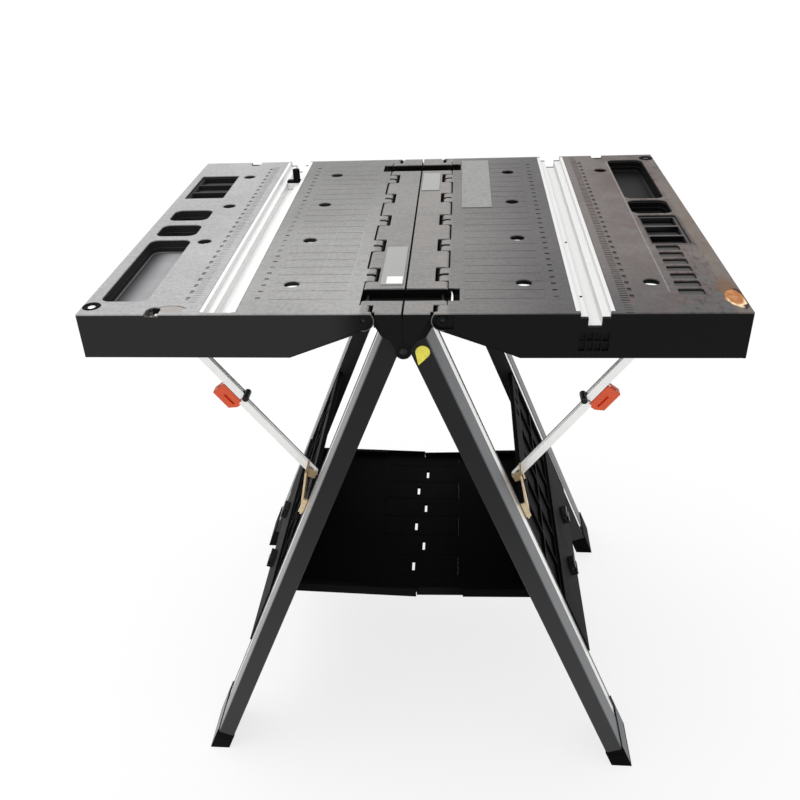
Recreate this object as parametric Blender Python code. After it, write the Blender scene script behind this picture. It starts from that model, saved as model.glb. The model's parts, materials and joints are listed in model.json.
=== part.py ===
"""Folding work table.

Two moulded wings hinge on a split centre beam that stands on an A-frame of
four leaning legs. A folding brace with a release lever holds each wing, and a
two-part shelf with meshing fingers ties the frames together near the floor.

Metres, +X to the right, +Y to the back, +Z up, origin on the floor under the
middle of the table.
"""
import math

import bmesh
import bpy
from mathutils import Matrix, Vector

# Gaps between pieces
SEAT = 0.0003          # where one piece rests on another
RUN = 0.0006           # where one piece turns or slides in another

# Table top
TABLE_WIDTH = 0.786
TABLE_DEPTH = 0.640
TOP_HEIGHT = 0.815
DECK_THICK = 0.009
SKIRT_HEIGHT = 0.058
SKIRT_WALL = 0.005
NOSE_RUN = 0.091       # length of the sloped underside beside the hinge
NOSE_R = 0.013         # round end of a skirt at the hinge

# Hinge between centre beam and wing
HINGE_X = 0.046
KNUCKLE_R = 0.010
SEAM_X = 0.052
KNUCKLE_COUNT = 5
KNUCKLE_PITCH = 0.102
KNUCKLE_LENGTH = 0.040
END_KNUCKLE = 0.024
HINGE_PIN_R = 0.0025
HINGE_PIN_INSET = 0.002

# Hand slots in the middle of the top
SLOT_INSET = 0.054     # middle of a slot, in from the end of the top
SLOT_LENGTH = 0.036
SLOT_REACH = 0.066

# Centre beam and A-frame pivot
BEAM_DEPTH = 0.025
PIVOT_DROP = 0.050
EAR_R = 0.010
EAR_THICK = 0.0065
EAR_SHOULDER = 0.005
PIVOT_PIN_R = 0.0045

# Legs, in the leaning plane of each frame
LEG_LEAN = math.radians(22.4)
LEG_GAP = 0.0022       # from the pivot to the inner face of a leg
LEG_THICK = 0.027
LEG_DEPTH = 0.083
LEG_INSET = 0.017      # outer face of a leg, in from the end of the top
LEG_WALL = 0.0022
LEG_STRIP = 0.055      # plain part of the outer face before the groove
LEG_GROOVE = 0.001
LEG_LIP = 0.0015
SPIGOT = 0.028

# Feet
FOOT_HEIGHT = 0.030
FOOT_PROUD = 0.0005
FOOT_RIB = 0.0008
FOOT_RIB_PITCH = 0.006
GUARD_THICK = 0.002
GUARD_LOW = 0.003
GUARD_HIGH = 0.007
GUARD_EDGE = 0.030
GUARD_EDGE_WIDTH = 0.0035

# Shelf
SHELF_DOWN = 0.5395    # along the leg, from the pivot to the shelf hinge
SHELF_DIP = math.radians(1.7)
SHELF_INSET = 0.024    # end of the shelf, in from the back of a leg
SHELF_THICK = 0.017
SHELF_SINK = 0.0085    # floor below the rim
SHELF_FLOOR = 0.006
SHELF_WALL = 0.012
SHELF_PIN_R = 0.004
SHELF_PIN_LENGTH = 0.012
RIM_STRIP = 0.0034
RIM_RETURN = 0.0075    # rim stops short of the fingers
FINGER_COUNT = 6       # fingers with an eye; a plain one lies outside them at each end
FINGER_WIDTH = 0.052
FINGER_ROOT = 0.0665   # from the seam back to where the fingers start
EYE_LENGTH = 0.025
EYE_WIDTH = 0.0045
EYE_OFFSET = 0.0075

# Side panels between front and rear legs
PANEL_BELOW = 0.052    # top of the panel, below the lower pin of the brace
PANEL_BOTTOM = 0.655
PANEL_BACK = 0.003     # sheet behind the pockets
PANEL_DROP = 0.0017    # face of the panel under the outer face of the legs
PANEL_RIB = 0.006
PANEL_COLUMNS = 6
PANEL_ROWS = 2
BAND_TOP = 0.534
BAND_PROUD = 0.004
WINDOW = 0.014
WINDOW_EDGE = 0.009
WINDOW_PITCH = 0.040
WINDOW_FIRST = 0.098
LUG_R = 0.0085
CLIP_Y = 0.070
CLIP_DOWN = 0.605      # along the leg, from the pivot to the middle of a clip
CLIP_LENGTH = 0.027
CLIP_HEIGHT = 0.021
CLIP_PROUD = 0.010
CLIP_JAW = 0.0035

# Folding braces
BRACE_INSET_Y = 0.0448 # middle of the brace, in from the back of a leg
BRACE_LANE = 0.009
BRACE_HALF = 0.006
BRACE_N = 0.0337       # lower pin, out from the pivot plane of the frame
BRACE_A = 0.3119       # lower pin, down the leg from the pivot
BRACE_LOWER = 0.1564
BRACE_INSET = 0.041    # upper pin, in from the edge of the wing
BRACE_RISE = 0.0005    # upper pin, above the bottom of the skirt
KNEE_OFFSET = 0.008
KNEE_R = 0.0048
RIVET_R = 0.003
RIVET_HEAD_R = 0.0046
RIVET_HEAD = 0.0028
BRACE_PIN_R = 0.0035
BRACKET_WALL = 0.003
BRACKET_TAB = 0.025    # length of the tab behind the leg
BRACKET_REACH = 0.0485 # top of the leaning strip, out from the pivot plane
BRACKET_UP = 0.021     # ends of the strip, above and below the lower pin
BRACKET_DOWN = 0.054
BRACKET_STEP = 0.0013
ANCHOR_THICK = 0.005
ANCHOR_FLANGE = 0.025
ANCHOR_HALF = 0.015

# Release levers
LEVER_START = 0.007
LEVER_REACH = 0.029
LEVER_DEPTH = 0.024
LEVER_WIDTH = 0.0165
LEVER_PIN_R = 0.002
LEVER_PIN_DROP = 0.0052
LEVER_LUG = 0.003
LEVER_FACE = 0.0036     # front wall that hides the lug and the pin
LEVER_SLOT = 0.020
LEVER_SLOT_WIDTH = 0.003
LEVER_SLOT_DEPTH = 0.004

# Clamp rails
RAIL_X = 0.220
RAIL_WIDTH = 0.044
RAIL_HEIGHT = 0.020
RAIL_MOUTH = 0.034
RAIL_STEP = 0.007
RAIL_GROOVE = 0.016
RAIL_DEPTH = 0.018
RAIL_BED = 0.004
STOP_INSET = 0.100     # middle of the stop, in from the end of the top
STOP_LENGTH = 0.012
STOP_R = 0.006
STOP_RISE = 0.015
STOP_OFFSET = 0.008

# Holes and trays in the wings
DOG_R = 0.010
DOG_INNER_X = 0.144
DOG_OUTER_X = 0.296
DOG_NEAR_Y = 0.0775
DOG_INSET = 0.088      # outer holes, in from the end of the top
NOTCH_X = 0.300
NOTCH_WIDTH = 0.0175
NOTCH_LENGTH = 0.021
NOTCH_LIP = 0.004      # depth of the notch in the skirt
CORNER_HOLE_R = 0.006
CORNER_INSET_X = 0.0125
CORNER_INSET_Y = 0.023
TRAY_WALL = 0.003
TRAY_R = 0.012
SLIT_R = 0.003
TRAY_DEEP = 0.020
TRAY_HALF_DEEP = 0.012
TRAY_SHALLOW = 0.0035
RIB = 0.005
RIB_EDGE = 0.003
RIB_ROWS = 3
TRAY_EDGE = 0.017      # outer wall of the left trays, in from the edge of the wing
TRAY_WIDTH = 0.060
TRAY_INSET = 0.038     # front of the left long tray, in from the end of the top
LONG_TRAY = 0.212
POCKET = 0.048
POCKET_GAP = 0.015
POCKET_SPACE = 0.019
WIDE_TRAY_INSET = 0.080
WIDE_TRAY = 0.122
WIDE_TRAY_WIDTH = 0.064
WIDE_TRAY_EDGE = 0.013
RIGHT_EDGE = 0.022
RIGHT_WIDTH = 0.057
RIGHT_INSET = 0.030
RIGHT_LONG_TRAY = 0.207
RIGHT_GAP = 0.008
RIGHT_POCKET = 0.060
RIBBED_GAP = 0.007
RIBBED_TRAY = 0.113
RIBBED_WIDTH = 0.052
SLIT_EDGE = 0.041
SLIT_WIDTH = 0.030
SLIT_LENGTH = 0.0175
SLIT_GAP = 0.006
SLIT_COUNT = 7
GRILLE_X = 0.0075
GRILLE_Z = 0.011
GRILLE_BAR = 0.0015
GRILLE_SINK = 0.003
GRILLE_DROP = 0.018

# Plates on the top and the tag on the leg
PLATE_THICK = 0.0008
BEAM_PLATE_WIDTH = 0.028
BEAM_PLATE_EDGE = 0.004
LEFT_PLATE_INSET = 0.082
LEFT_PLATE = 0.128
RIGHT_PLATE_INSET = 0.090
RIGHT_PLATE = 0.093
WING_PLATE_EDGE = 0.016
WING_PLATE_WIDTH = 0.045
WING_PLATE_INSET = 0.020
WING_PLATE = 0.250
TAG_R = 0.0088
TAG_THICK = 0.0006
TAG_OUT = 0.0014       # middle of the round end, out from the middle of the leg
TAG_DOWN = 0.0167
TAG_SIDE = 0.0119      # point, in from the middle of the round end
TAG_DROP = 0.0144

# Facets of round shapes
ROUND = 24
SMALL_ROUND = 16

# Values that follow from the sizes
HALF_WIDTH = TABLE_WIDTH / 2
HALF_DEPTH = TABLE_DEPTH / 2
SLOT_Y = HALF_DEPTH - SLOT_INSET
LEG_FACE = HALF_DEPTH - LEG_INSET
STOP_Y = HALF_DEPTH - STOP_INSET
DOG_FAR_Y = HALF_DEPTH - DOG_INSET
CORNER_HOLE_X = HALF_WIDTH - CORNER_INSET_X
CORNER_HOLE_Y = HALF_DEPTH - CORNER_INSET_Y
HINGE_Z = TOP_HEIGHT - KNUCKLE_R
PIVOT_Z = TOP_HEIGHT - PIVOT_DROP
UNDER_DECK = TOP_HEIGHT - DECK_THICK
SKIRT_Z = TOP_HEIGHT - SKIRT_HEIGHT
COS = math.cos(LEG_LEAN)
SIN = math.sin(LEG_LEAN)
LEG_IN = LEG_GAP
LEG_OUT = LEG_GAP + LEG_THICK
LEG_BACK = LEG_FACE - LEG_DEPTH
SHELF_HALF = LEG_BACK - SHELF_INSET
BRACE_Y = -LEG_BACK + BRACE_INSET_Y
PANEL_TOP = BRACE_A + PANEL_BELOW
LEG_END = (PIVOT_Z + LEG_IN * SIN - FOOT_HEIGHT) / COS
SHELF_N = SHELF_THICK / 2 + LEG_GAP + SEAT
PANEL_IN = SHELF_N + SHELF_THICK / 2 + RUN
PANEL_OUT = LEG_OUT - PANEL_DROP
BAND_OUT = PANEL_OUT + BAND_PROUD
EAR_OUTER = (HALF_DEPTH - EAR_THICK, HALF_DEPTH)
EAR_INNER = (HALF_DEPTH - 2 * EAR_THICK - RUN, HALF_DEPTH - EAR_THICK - RUN)
LOWER_LANE = (BRACE_Y - SEAT - BRACE_LANE, BRACE_Y - SEAT)
UPPER_LANE = (BRACE_Y + SEAT, BRACE_Y + SEAT + BRACE_LANE)


def leg_point(n, up):
    """World (x, z) of a point in the plane of the right frame."""
    return n * COS - up * SIN, PIVOT_Z + n * SIN + up * COS


BRACE_FOOT = Vector(leg_point(BRACE_N, -BRACE_A))
BRACE_HEAD = Vector((HALF_WIDTH - BRACE_INSET, SKIRT_Z + BRACE_RISE))
BRACE_SPAN = (BRACE_HEAD - BRACE_FOOT).length
BRACE_U = (BRACE_HEAD - BRACE_FOOT) / BRACE_SPAN
BRACE_V = Vector((-BRACE_U.y, BRACE_U.x))
SHELF_HINGE = Vector(leg_point(SHELF_N, -SHELF_DOWN))
SHELF_REACH = SHELF_HINGE.x / math.cos(SHELF_DIP)

# Start from an empty scene
for stale in list(bpy.data.objects):
    bpy.data.objects.remove(stale)
PARTS = bpy.data.collections.new("folding_work_table")
bpy.context.scene.collection.children.link(PARTS)


def material(name, colour, roughness, metallic=0.0):
    mat = bpy.data.materials.new(name)
    mat.use_nodes = True
    shader = mat.node_tree.nodes["Principled BSDF"]
    shader.inputs["Base Color"].default_value = (*colour, 1.0)
    shader.inputs["Roughness"].default_value = roughness
    shader.inputs["Metallic"].default_value = metallic
    return mat


DECK_PLASTIC = material("grey moulded deck", (0.12, 0.12, 0.12), 0.55)
BLACK_PLASTIC = material("black moulded plastic", (0.025, 0.025, 0.026), 0.5)
LEG_METAL = material("coated leg tube", (0.11, 0.11, 0.115), 0.38, 0.6)
RAIL_METAL = material("bright aluminium", (0.80, 0.81, 0.82), 0.3, 1.0)
BRACE_METAL = material("plated steel", (0.72, 0.73, 0.74), 0.32, 1.0)
ZINC = material("yellow zinc", (0.62, 0.47, 0.24), 0.4, 0.8)
DARK_STEEL = material("blackened steel", (0.03, 0.03, 0.032), 0.4, 0.7)
ORANGE = material("orange plastic", (0.83, 0.20, 0.05), 0.42)
PALE_PLATE = material("pale plate", (0.42, 0.42, 0.42), 0.45)
YELLOW = material("yellow film", (0.80, 0.70, 0.12), 0.4)


def mesh_object(bm, name="solid"):
    bmesh.ops.recalc_face_normals(bm, faces=bm.faces)
    mesh = bpy.data.meshes.new(name)
    bm.to_mesh(mesh)
    bm.free()
    obj = bpy.data.objects.new(name, mesh)
    PARTS.objects.link(obj)
    return obj


def box(x, y, z):
    """A block between pairs of limits."""
    low = Vector((min(x), min(y), min(z)))
    high = Vector((max(x), max(y), max(z)))
    bm = bmesh.new()
    bmesh.ops.create_cube(bm, size=1.0, matrix=Matrix.Translation((low + high) / 2)
                          @ Matrix.Diagonal((*(high - low), 1.0)))
    return mesh_object(bm)


def rod(axis, centre, radius, span, sides=ROUND):
    """A cylinder along Y at (x, z), or along Z at (x, y)."""
    length = abs(span[1] - span[0])
    middle = (span[0] + span[1]) / 2
    if axis == "Y":
        place = Matrix.Translation((centre[0], middle, centre[1])) @ Matrix.Rotation(math.pi / 2, 4, "X")
    else:
        place = Matrix.Translation((centre[0], centre[1], middle))
    bm = bmesh.new()
    bmesh.ops.create_cone(bm, cap_ends=True, segments=sides, radius1=radius,
                          radius2=radius, depth=length, matrix=place)
    return mesh_object(bm)


def sheet(points, span, axis="Y"):
    """A flat outline given thickness: (x, z) along Y, (y, z) along X or (x, y) along Z."""
    curve = bpy.data.curves.new("outline", "CURVE")
    curve.dimensions = "2D"
    curve.fill_mode = "BOTH"
    curve.extrude = abs(span[1] - span[0]) / 2
    spline = curve.splines.new("POLY")
    spline.points.add(len(points) - 1)
    for spot, (u, v) in zip(spline.points, points):
        spot.co = (u, v, 0.0, 1.0)
    spline.use_cyclic_u = True
    flat = bpy.data.objects.new("outline", curve)
    PARTS.objects.link(flat)
    graph = bpy.context.evaluated_depsgraph_get()
    mesh = bpy.data.meshes.new_from_object(flat.evaluated_get(graph))
    bpy.data.objects.remove(flat)
    bpy.data.curves.remove(curve)
    middle = (span[0] + span[1]) / 2
    if axis == "Y":
        place = Matrix.Translation((0, middle, 0)) @ Matrix.Rotation(math.pi / 2, 4, "X")
    elif axis == "X":
        place = Matrix.Translation((middle, 0, 0)) @ Matrix(((0, 0, 1, 0), (1, 0, 0, 0),
                                                            (0, 1, 0, 0), (0, 0, 0, 1)))
    else:
        place = Matrix.Translation((0, 0, middle))
    bm = bmesh.new()
    bm.from_mesh(mesh)
    bpy.data.meshes.remove(mesh)
    bmesh.ops.remove_doubles(bm, verts=bm.verts, dist=1e-6)
    bm.transform(place)
    return mesh_object(bm)


def boolean(target, tool, operation):
    mod = target.modifiers.new(operation.lower(), "BOOLEAN")
    mod.operation = operation
    mod.solver = "EXACT"
    mod.object = tool
    graph = bpy.context.evaluated_depsgraph_get()
    mesh = bpy.data.meshes.new_from_object(target.evaluated_get(graph))
    target.modifiers.clear()
    old, target.data = target.data, mesh
    bpy.data.meshes.remove(old)
    spent = tool.data
    bpy.data.objects.remove(tool)
    bpy.data.meshes.remove(spent)


def join(target, *tools):
    for tool in tools:
        boolean(target, tool, "UNION")
    return target


def cut(target, *tools):
    for tool in tools:
        boolean(target, tool, "DIFFERENCE")
    return target


def reshape(obj, matrix):
    """Bake a placement into the mesh, turning faces back out after a mirror."""
    bm = bmesh.new()
    bm.from_mesh(obj.data)
    bm.transform(matrix)
    if matrix.determinant() < 0:
        bmesh.ops.reverse_faces(bm, faces=bm.faces)
    bm.to_mesh(obj.data)
    bm.free()
    return obj


MIRROR_X = Matrix.Diagonal((-1.0, 1.0, 1.0, 1.0))
MIRROR_Y = Matrix.Diagonal((1.0, -1.0, 1.0, 1.0))
RIGHT_FRAME = Matrix.Translation((0, 0, PIVOT_Z)) @ Matrix.Rotation(-LEG_LEAN, 4, "Y")


def hand(obj, side):
    """Keep the right-hand piece, or mirror it for the left."""
    return reshape(obj, MIRROR_X) if side < 0 else obj


def axis_empty(name, location, parent=None):
    """An empty on a joint's axis, which carries the pieces that turn there."""
    empty = bpy.data.objects.new(name, None)
    empty.empty_display_size = 0.05
    PARTS.objects.link(empty)
    empty["at"] = location
    if parent:
        empty.parent = parent
        location = Vector(location) - Vector(parent["at"])
    empty.location = location
    return empty


def finish(obj, name, mat, parent, smooth=False):
    obj.name = name
    obj.data.name = name
    obj.data.materials.clear()
    obj.data.materials.append(mat)
    obj.parent = parent
    obj.matrix_parent_inverse = Matrix.Translation(-Vector(parent["at"]))
    if smooth:
        obj.data.shade_smooth()
        obj.data.set_sharp_from_angle(angle=math.radians(35))
    return obj


def arc(centre, radius, start, end, steps):
    """Points on an arc, in degrees."""
    return [(centre[0] + radius * math.cos(math.radians(start + (end - start) * i / steps)),
             centre[1] + radius * math.sin(math.radians(start + (end - start) * i / steps)))
            for i in range(steps + 1)]


def rounded(x, y, radius, steps=4):
    """A rectangle with round corners, run anticlockwise."""
    (x0, x1), (y0, y1) = sorted(x), sorted(y)
    r = min(radius, (x1 - x0) / 2.2, (y1 - y0) / 2.2)
    return (arc((x1 - r, y0 + r), r, -90, 0, steps) + arc((x1 - r, y1 - r), r, 0, 90, steps)
            + arc((x0 + r, y1 - r), r, 90, 180, steps) + arc((x0 + r, y0 + r), r, 180, 270, steps))


def wing_knuckles():
    """Lengths of the hinge line that belong to a wing, front to back."""
    rows = [(-HALF_DEPTH, -HALF_DEPTH + END_KNUCKLE)]
    for i in range(KNUCKLE_COUNT):
        y = (i - (KNUCKLE_COUNT - 1) / 2) * KNUCKLE_PITCH
        rows.append((y - KNUCKLE_LENGTH / 2, y + KNUCKLE_LENGTH / 2))
    rows.append((HALF_DEPTH - END_KNUCKLE, HALF_DEPTH))
    return rows


# Empties on the axes of the moving pieces
FRAME = {-1: axis_empty("left_frame", (0, 0, PIVOT_Z)),
         1: axis_empty("right_frame", (0, 0, PIVOT_Z))}
WING = {s: axis_empty(f"{n}_wing_hinge", (s * HINGE_X, 0, HINGE_Z), FRAME[s])
        for s, n in ((-1, "left"), (1, "right"))}
SHELF = {s: axis_empty(f"{n}_shelf_hinge", (s * SHELF_HINGE.x, 0, SHELF_HINGE.y), FRAME[s])
         for s, n in ((-1, "left"), (1, "right"))}
LOWER = {s: axis_empty(f"{n}_brace_foot", (s * BRACE_FOOT.x, BRACE_Y, BRACE_FOOT.y), FRAME[s])
         for s, n in ((-1, "left"), (1, "right"))}
UPPER = {s: axis_empty(f"{n}_brace_head", (s * BRACE_HEAD.x, BRACE_Y, BRACE_HEAD.y), WING[s])
         for s, n in ((-1, "left"), (1, "right"))}


def brace_point(along, across):
    """World (x, z) of a point on the right brace: along it, and across towards the hinge."""
    spot = BRACE_FOOT + BRACE_U * along + BRACE_V * across
    return spot.x, spot.y


LEVER_AXIS = brace_point(BRACE_LOWER + LEVER_REACH, -BRACE_HALF - LEVER_PIN_DROP)
LEVER = {s: axis_empty(f"{n}_lever_axis", (s * LEVER_AXIS[0], BRACE_Y, LEVER_AXIS[1]), UPPER[s])
         for s, n in ((-1, "left"), (1, "right"))}
STOP = axis_empty("rail_stop_slide", (-RAIL_X, STOP_Y, TOP_HEIGHT), WING[-1])
NAMES = {-1: "left", 1: "right"}


def centre_beam(side):
    """Half of the split centre beam, with its hinge barrels, pivot ears and leg sockets."""
    under = TOP_HEIGHT - BEAM_DEPTH
    beam = sheet([(SEAT, TOP_HEIGHT), (SEAT, under), (HINGE_X - KNUCKLE_R, under)]
                 + arc((HINGE_X, HINGE_Z), KNUCKLE_R, -90, 90, ROUND // 2), (-HALF_DEPTH, HALF_DEPTH))
    edge = HINGE_X - KNUCKLE_R - RUN
    nose_edge = HINGE_X - NOSE_R - RUN
    for low, high in wing_knuckles():
        low = low - RUN if low > -HALF_DEPTH else low - SKIRT_WALL
        high = high + RUN if high < HALF_DEPTH else high + SKIRT_WALL
        cut(beam, box((edge, HINGE_X + 2 * KNUCKLE_R), (low, high),
                      (SKIRT_Z, TOP_HEIGHT + KNUCKLE_R)))
    own, other = (EAR_OUTER, EAR_INNER) if side < 0 else (EAR_INNER, EAR_OUTER)
    root = (EAR_R * 0.95, PIVOT_Z + EAR_R * 0.3)
    shoulder = (nose_edge - SEAT, TOP_HEIGHT - EAR_SHOULDER)
    for end in (-1, 1):
        cut(beam, box((nose_edge, HINGE_X + 2 * KNUCKLE_R), (end * (HALF_DEPTH - SKIRT_WALL - RUN), end * TABLE_DEPTH),
                      (SKIRT_Z, TOP_HEIGHT + KNUCKLE_R)))
        cut(beam, sheet([(root[0] + 2 * SEAT, root[1]), (2 * HINGE_X, root[1]), (2 * HINGE_X, shoulder[1] + SEAT),
                         (nose_edge + SEAT, shoulder[1] + SEAT)], (end * (EAR_INNER[0] - RUN), end * TABLE_DEPTH)))
        ear = sheet([(SEAT, TOP_HEIGHT - RUN), (SEAT, PIVOT_Z), root, shoulder, (shoulder[0], TOP_HEIGHT - RUN)],
                    (end * (EAR_INNER[0] - 2 * RUN), end * (HALF_DEPTH - RUN / 4)))
        boss = rod("Y", (0, PIVOT_Z), EAR_R, (end * own[0], end * (own[1] - RUN / 4)))
        clear = rod("Y", (0, PIVOT_Z), EAR_R + RUN,
                    (end * (other[0] - RUN / 2), end * (other[1] + RUN / 2)))
        join(beam, cut(ear, clear), boss)
        leg = sorted((end * LEG_BACK, end * LEG_FACE))
        inner, outer = leg_point(LEG_IN, SEAT), leg_point(LEG_OUT, SEAT)
        roof = under + RUN
        join(beam, sheet([inner, outer, (edge - RUN, roof), (inner[0], roof)], leg))
        plug = [leg_point(LEG_IN + LEG_WALL + SEAT, -SPIGOT), leg_point(LEG_OUT - LEG_WALL - LEG_GROOVE - SEAT, -SPIGOT),
                leg_point(LEG_OUT - LEG_WALL - LEG_GROOVE - SEAT, 2 * SEAT), leg_point(LEG_IN + LEG_WALL + SEAT, 2 * SEAT)]
        join(beam, sheet(plug, (leg[0] + LEG_WALL + SEAT, leg[1] - LEG_WALL - SEAT)))
        cut(beam, box((-HINGE_X, 2 * HINGE_X), (end * (SLOT_Y - SLOT_LENGTH / 2), end * (SLOT_Y + SLOT_LENGTH / 2)),
                      (TOP_HEIGHT - BEAM_DEPTH / 2, TOP_HEIGHT + KNUCKLE_R)))
    cut(beam, rod("Y", (HINGE_X, HINGE_Z), HINGE_PIN_R + SEAT, (-TABLE_DEPTH, TABLE_DEPTH), SMALL_ROUND))
    cut(beam, rod("Y", (0, PIVOT_Z), PIVOT_PIN_R + SEAT, (-TABLE_DEPTH, TABLE_DEPTH), SMALL_ROUND))
    finish(hand(beam, side), f"centre_beam_{NAMES[side]}", DECK_PLASTIC, FRAME[side])


def leg_frame(side, end):
    """One leg tube with its foot."""
    y = (LEG_BACK, LEG_FACE)
    tube = box((LEG_IN, LEG_OUT), y, (-LEG_END, 0))
    cut(tube, box((LEG_IN + LEG_WALL, LEG_OUT - LEG_WALL - LEG_GROOVE), (y[0] + LEG_WALL, y[1] - LEG_WALL),
                  (-2 * LEG_END, LEG_END)))
    cut(tube, box((LEG_OUT - LEG_GROOVE, 2 * LEG_OUT), (y[0] + LEG_LIP, y[1] - LEG_STRIP), (-2 * LEG_END, LEG_END)))
    floor = -(PIVOT_Z + LEG_OUT) / COS - FOOT_HEIGHT
    cap = box((LEG_IN - FOOT_PROUD, LEG_OUT + SEAT + GUARD_THICK), (y[0], y[1] + FOOT_PROUD), (floor, -LEG_END - SEAT))
    for i in range(2):
        z = -LEG_END - SEAT - FOOT_RIB_PITCH * (i + 0.7)
        cut(cap, box((0, 2 * LEG_OUT), (y[1] + FOOT_PROUD - FOOT_RIB, 2 * y[1]), (z, z - FOOT_RIB_PITCH / 3)))
    guard = [(y[1] + FOOT_PROUD, -LEG_END - 2 * SEAT), (y[1] + FOOT_PROUD, -LEG_END + GUARD_LOW),
             (y[1] - LEG_STRIP, -LEG_END + GUARD_HIGH), (y[0] + GUARD_EDGE_WIDTH, -LEG_END + GUARD_HIGH),
             (y[0] + GUARD_EDGE_WIDTH, -LEG_END + GUARD_EDGE), (y[0], -LEG_END + GUARD_EDGE),
             (y[0], -LEG_END - 2 * SEAT)]
    join(cap, sheet(guard, (LEG_OUT + SEAT, LEG_OUT + SEAT + GUARD_THICK), "X"))
    join(cap, box((LEG_IN + LEG_WALL + SEAT, LEG_OUT - LEG_WALL - LEG_GROOVE - SEAT),
                  (y[0] + LEG_WALL + SEAT, y[1] - LEG_WALL - SEAT), (-LEG_END - 2 * SEAT, -LEG_END + SPIGOT)))
    for piece in (tube, cap):
        reshape(piece, RIGHT_FRAME)
        if end < 0:
            reshape(piece, MIRROR_Y)
        hand(piece, side)
    cut(cap, box((-TABLE_WIDTH, TABLE_WIDTH), (-TABLE_DEPTH, TABLE_DEPTH), (-TOP_HEIGHT, 0)))
    place = f"{'front' if end < 0 else 'rear'}_{NAMES[side]}"
    finish(tube, f"leg_{place}", LEG_METAL, FRAME[side])
    finish(cap, f"foot_{place}", BLACK_PLASTIC, FRAME[side])


def side_panel(side):
    """Ribbed panel between the legs of one frame, with the lugs of the shelf hinge and two clips."""
    half = LEG_BACK - SEAT
    panel = box((PANEL_IN, PANEL_OUT), (-half, half), (-PANEL_BOTTOM, -PANEL_TOP))
    join(panel, box((PANEL_IN + SEAT, BAND_OUT), (-half, half), (-PANEL_BOTTOM, -BAND_TOP)))
    high = -PANEL_TOP - 2 * WINDOW_EDGE - WINDOW
    low = -BAND_TOP + PANEL_RIB
    column = (2 * half - PANEL_RIB) / PANEL_COLUMNS
    row = (high - low + PANEL_RIB) / PANEL_ROWS
    for i in range(PANEL_COLUMNS):
        for j in range(PANEL_ROWS):
            y0 = -half + PANEL_RIB + i * column
            z0 = low + j * row
            cut(panel, box((PANEL_IN + PANEL_BACK, 2 * LEG_OUT), (y0, y0 + column - PANEL_RIB), (z0, z0 + row - PANEL_RIB)))
    z = -PANEL_TOP - WINDOW_EDGE
    for end in (-1, 1):
        for i in range(2):
            y = end * (WINDOW_FIRST + i * WINDOW_PITCH)
            cut(panel, box((0, 2 * LEG_OUT), (y - WINDOW / 2, y + WINDOW / 2), (z - WINDOW, z)))
        y = end * (WINDOW_FIRST + 2 * WINDOW_PITCH)
        cut(panel, box((0, 2 * LEG_OUT), (y - WINDOW, y + WINDOW), (z - WINDOW, z - WINDOW * 0.6)))
        lug = box((SHELF_N - LUG_R, PANEL_IN + PANEL_BACK / 2), (end * (SHELF_HALF + RUN), end * half),
                  (-SHELF_DOWN - LUG_R, -SHELF_DOWN + LUG_R))
        join(panel, cut(lug, rod("Y", (SHELF_N, -SHELF_DOWN), SHELF_PIN_R + SEAT, (-TABLE_DEPTH, TABLE_DEPTH), SMALL_ROUND)))
        clip = box((BAND_OUT + SEAT, BAND_OUT + CLIP_PROUD), (end * CLIP_Y - CLIP_LENGTH / 2, end * CLIP_Y + CLIP_LENGTH / 2),
                   (-CLIP_DOWN - CLIP_HEIGHT / 2, -CLIP_DOWN + CLIP_HEIGHT / 2))
        cut(clip, box((BAND_OUT + CLIP_PROUD / 2, LEG_FACE), (-TABLE_DEPTH, TABLE_DEPTH),
                      (-CLIP_DOWN - CLIP_JAW, -CLIP_DOWN + CLIP_JAW)))
        finish(hand(reshape(clip, RIGHT_FRAME), side), f"clip_{'front' if end < 0 else 'rear'}_{NAMES[side]}",
               DARK_STEEL, FRAME[side])
    finish(hand(reshape(panel, RIGHT_FRAME), side), f"side_panel_{NAMES[side]}", BLACK_PLASTIC, FRAME[side])


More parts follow.
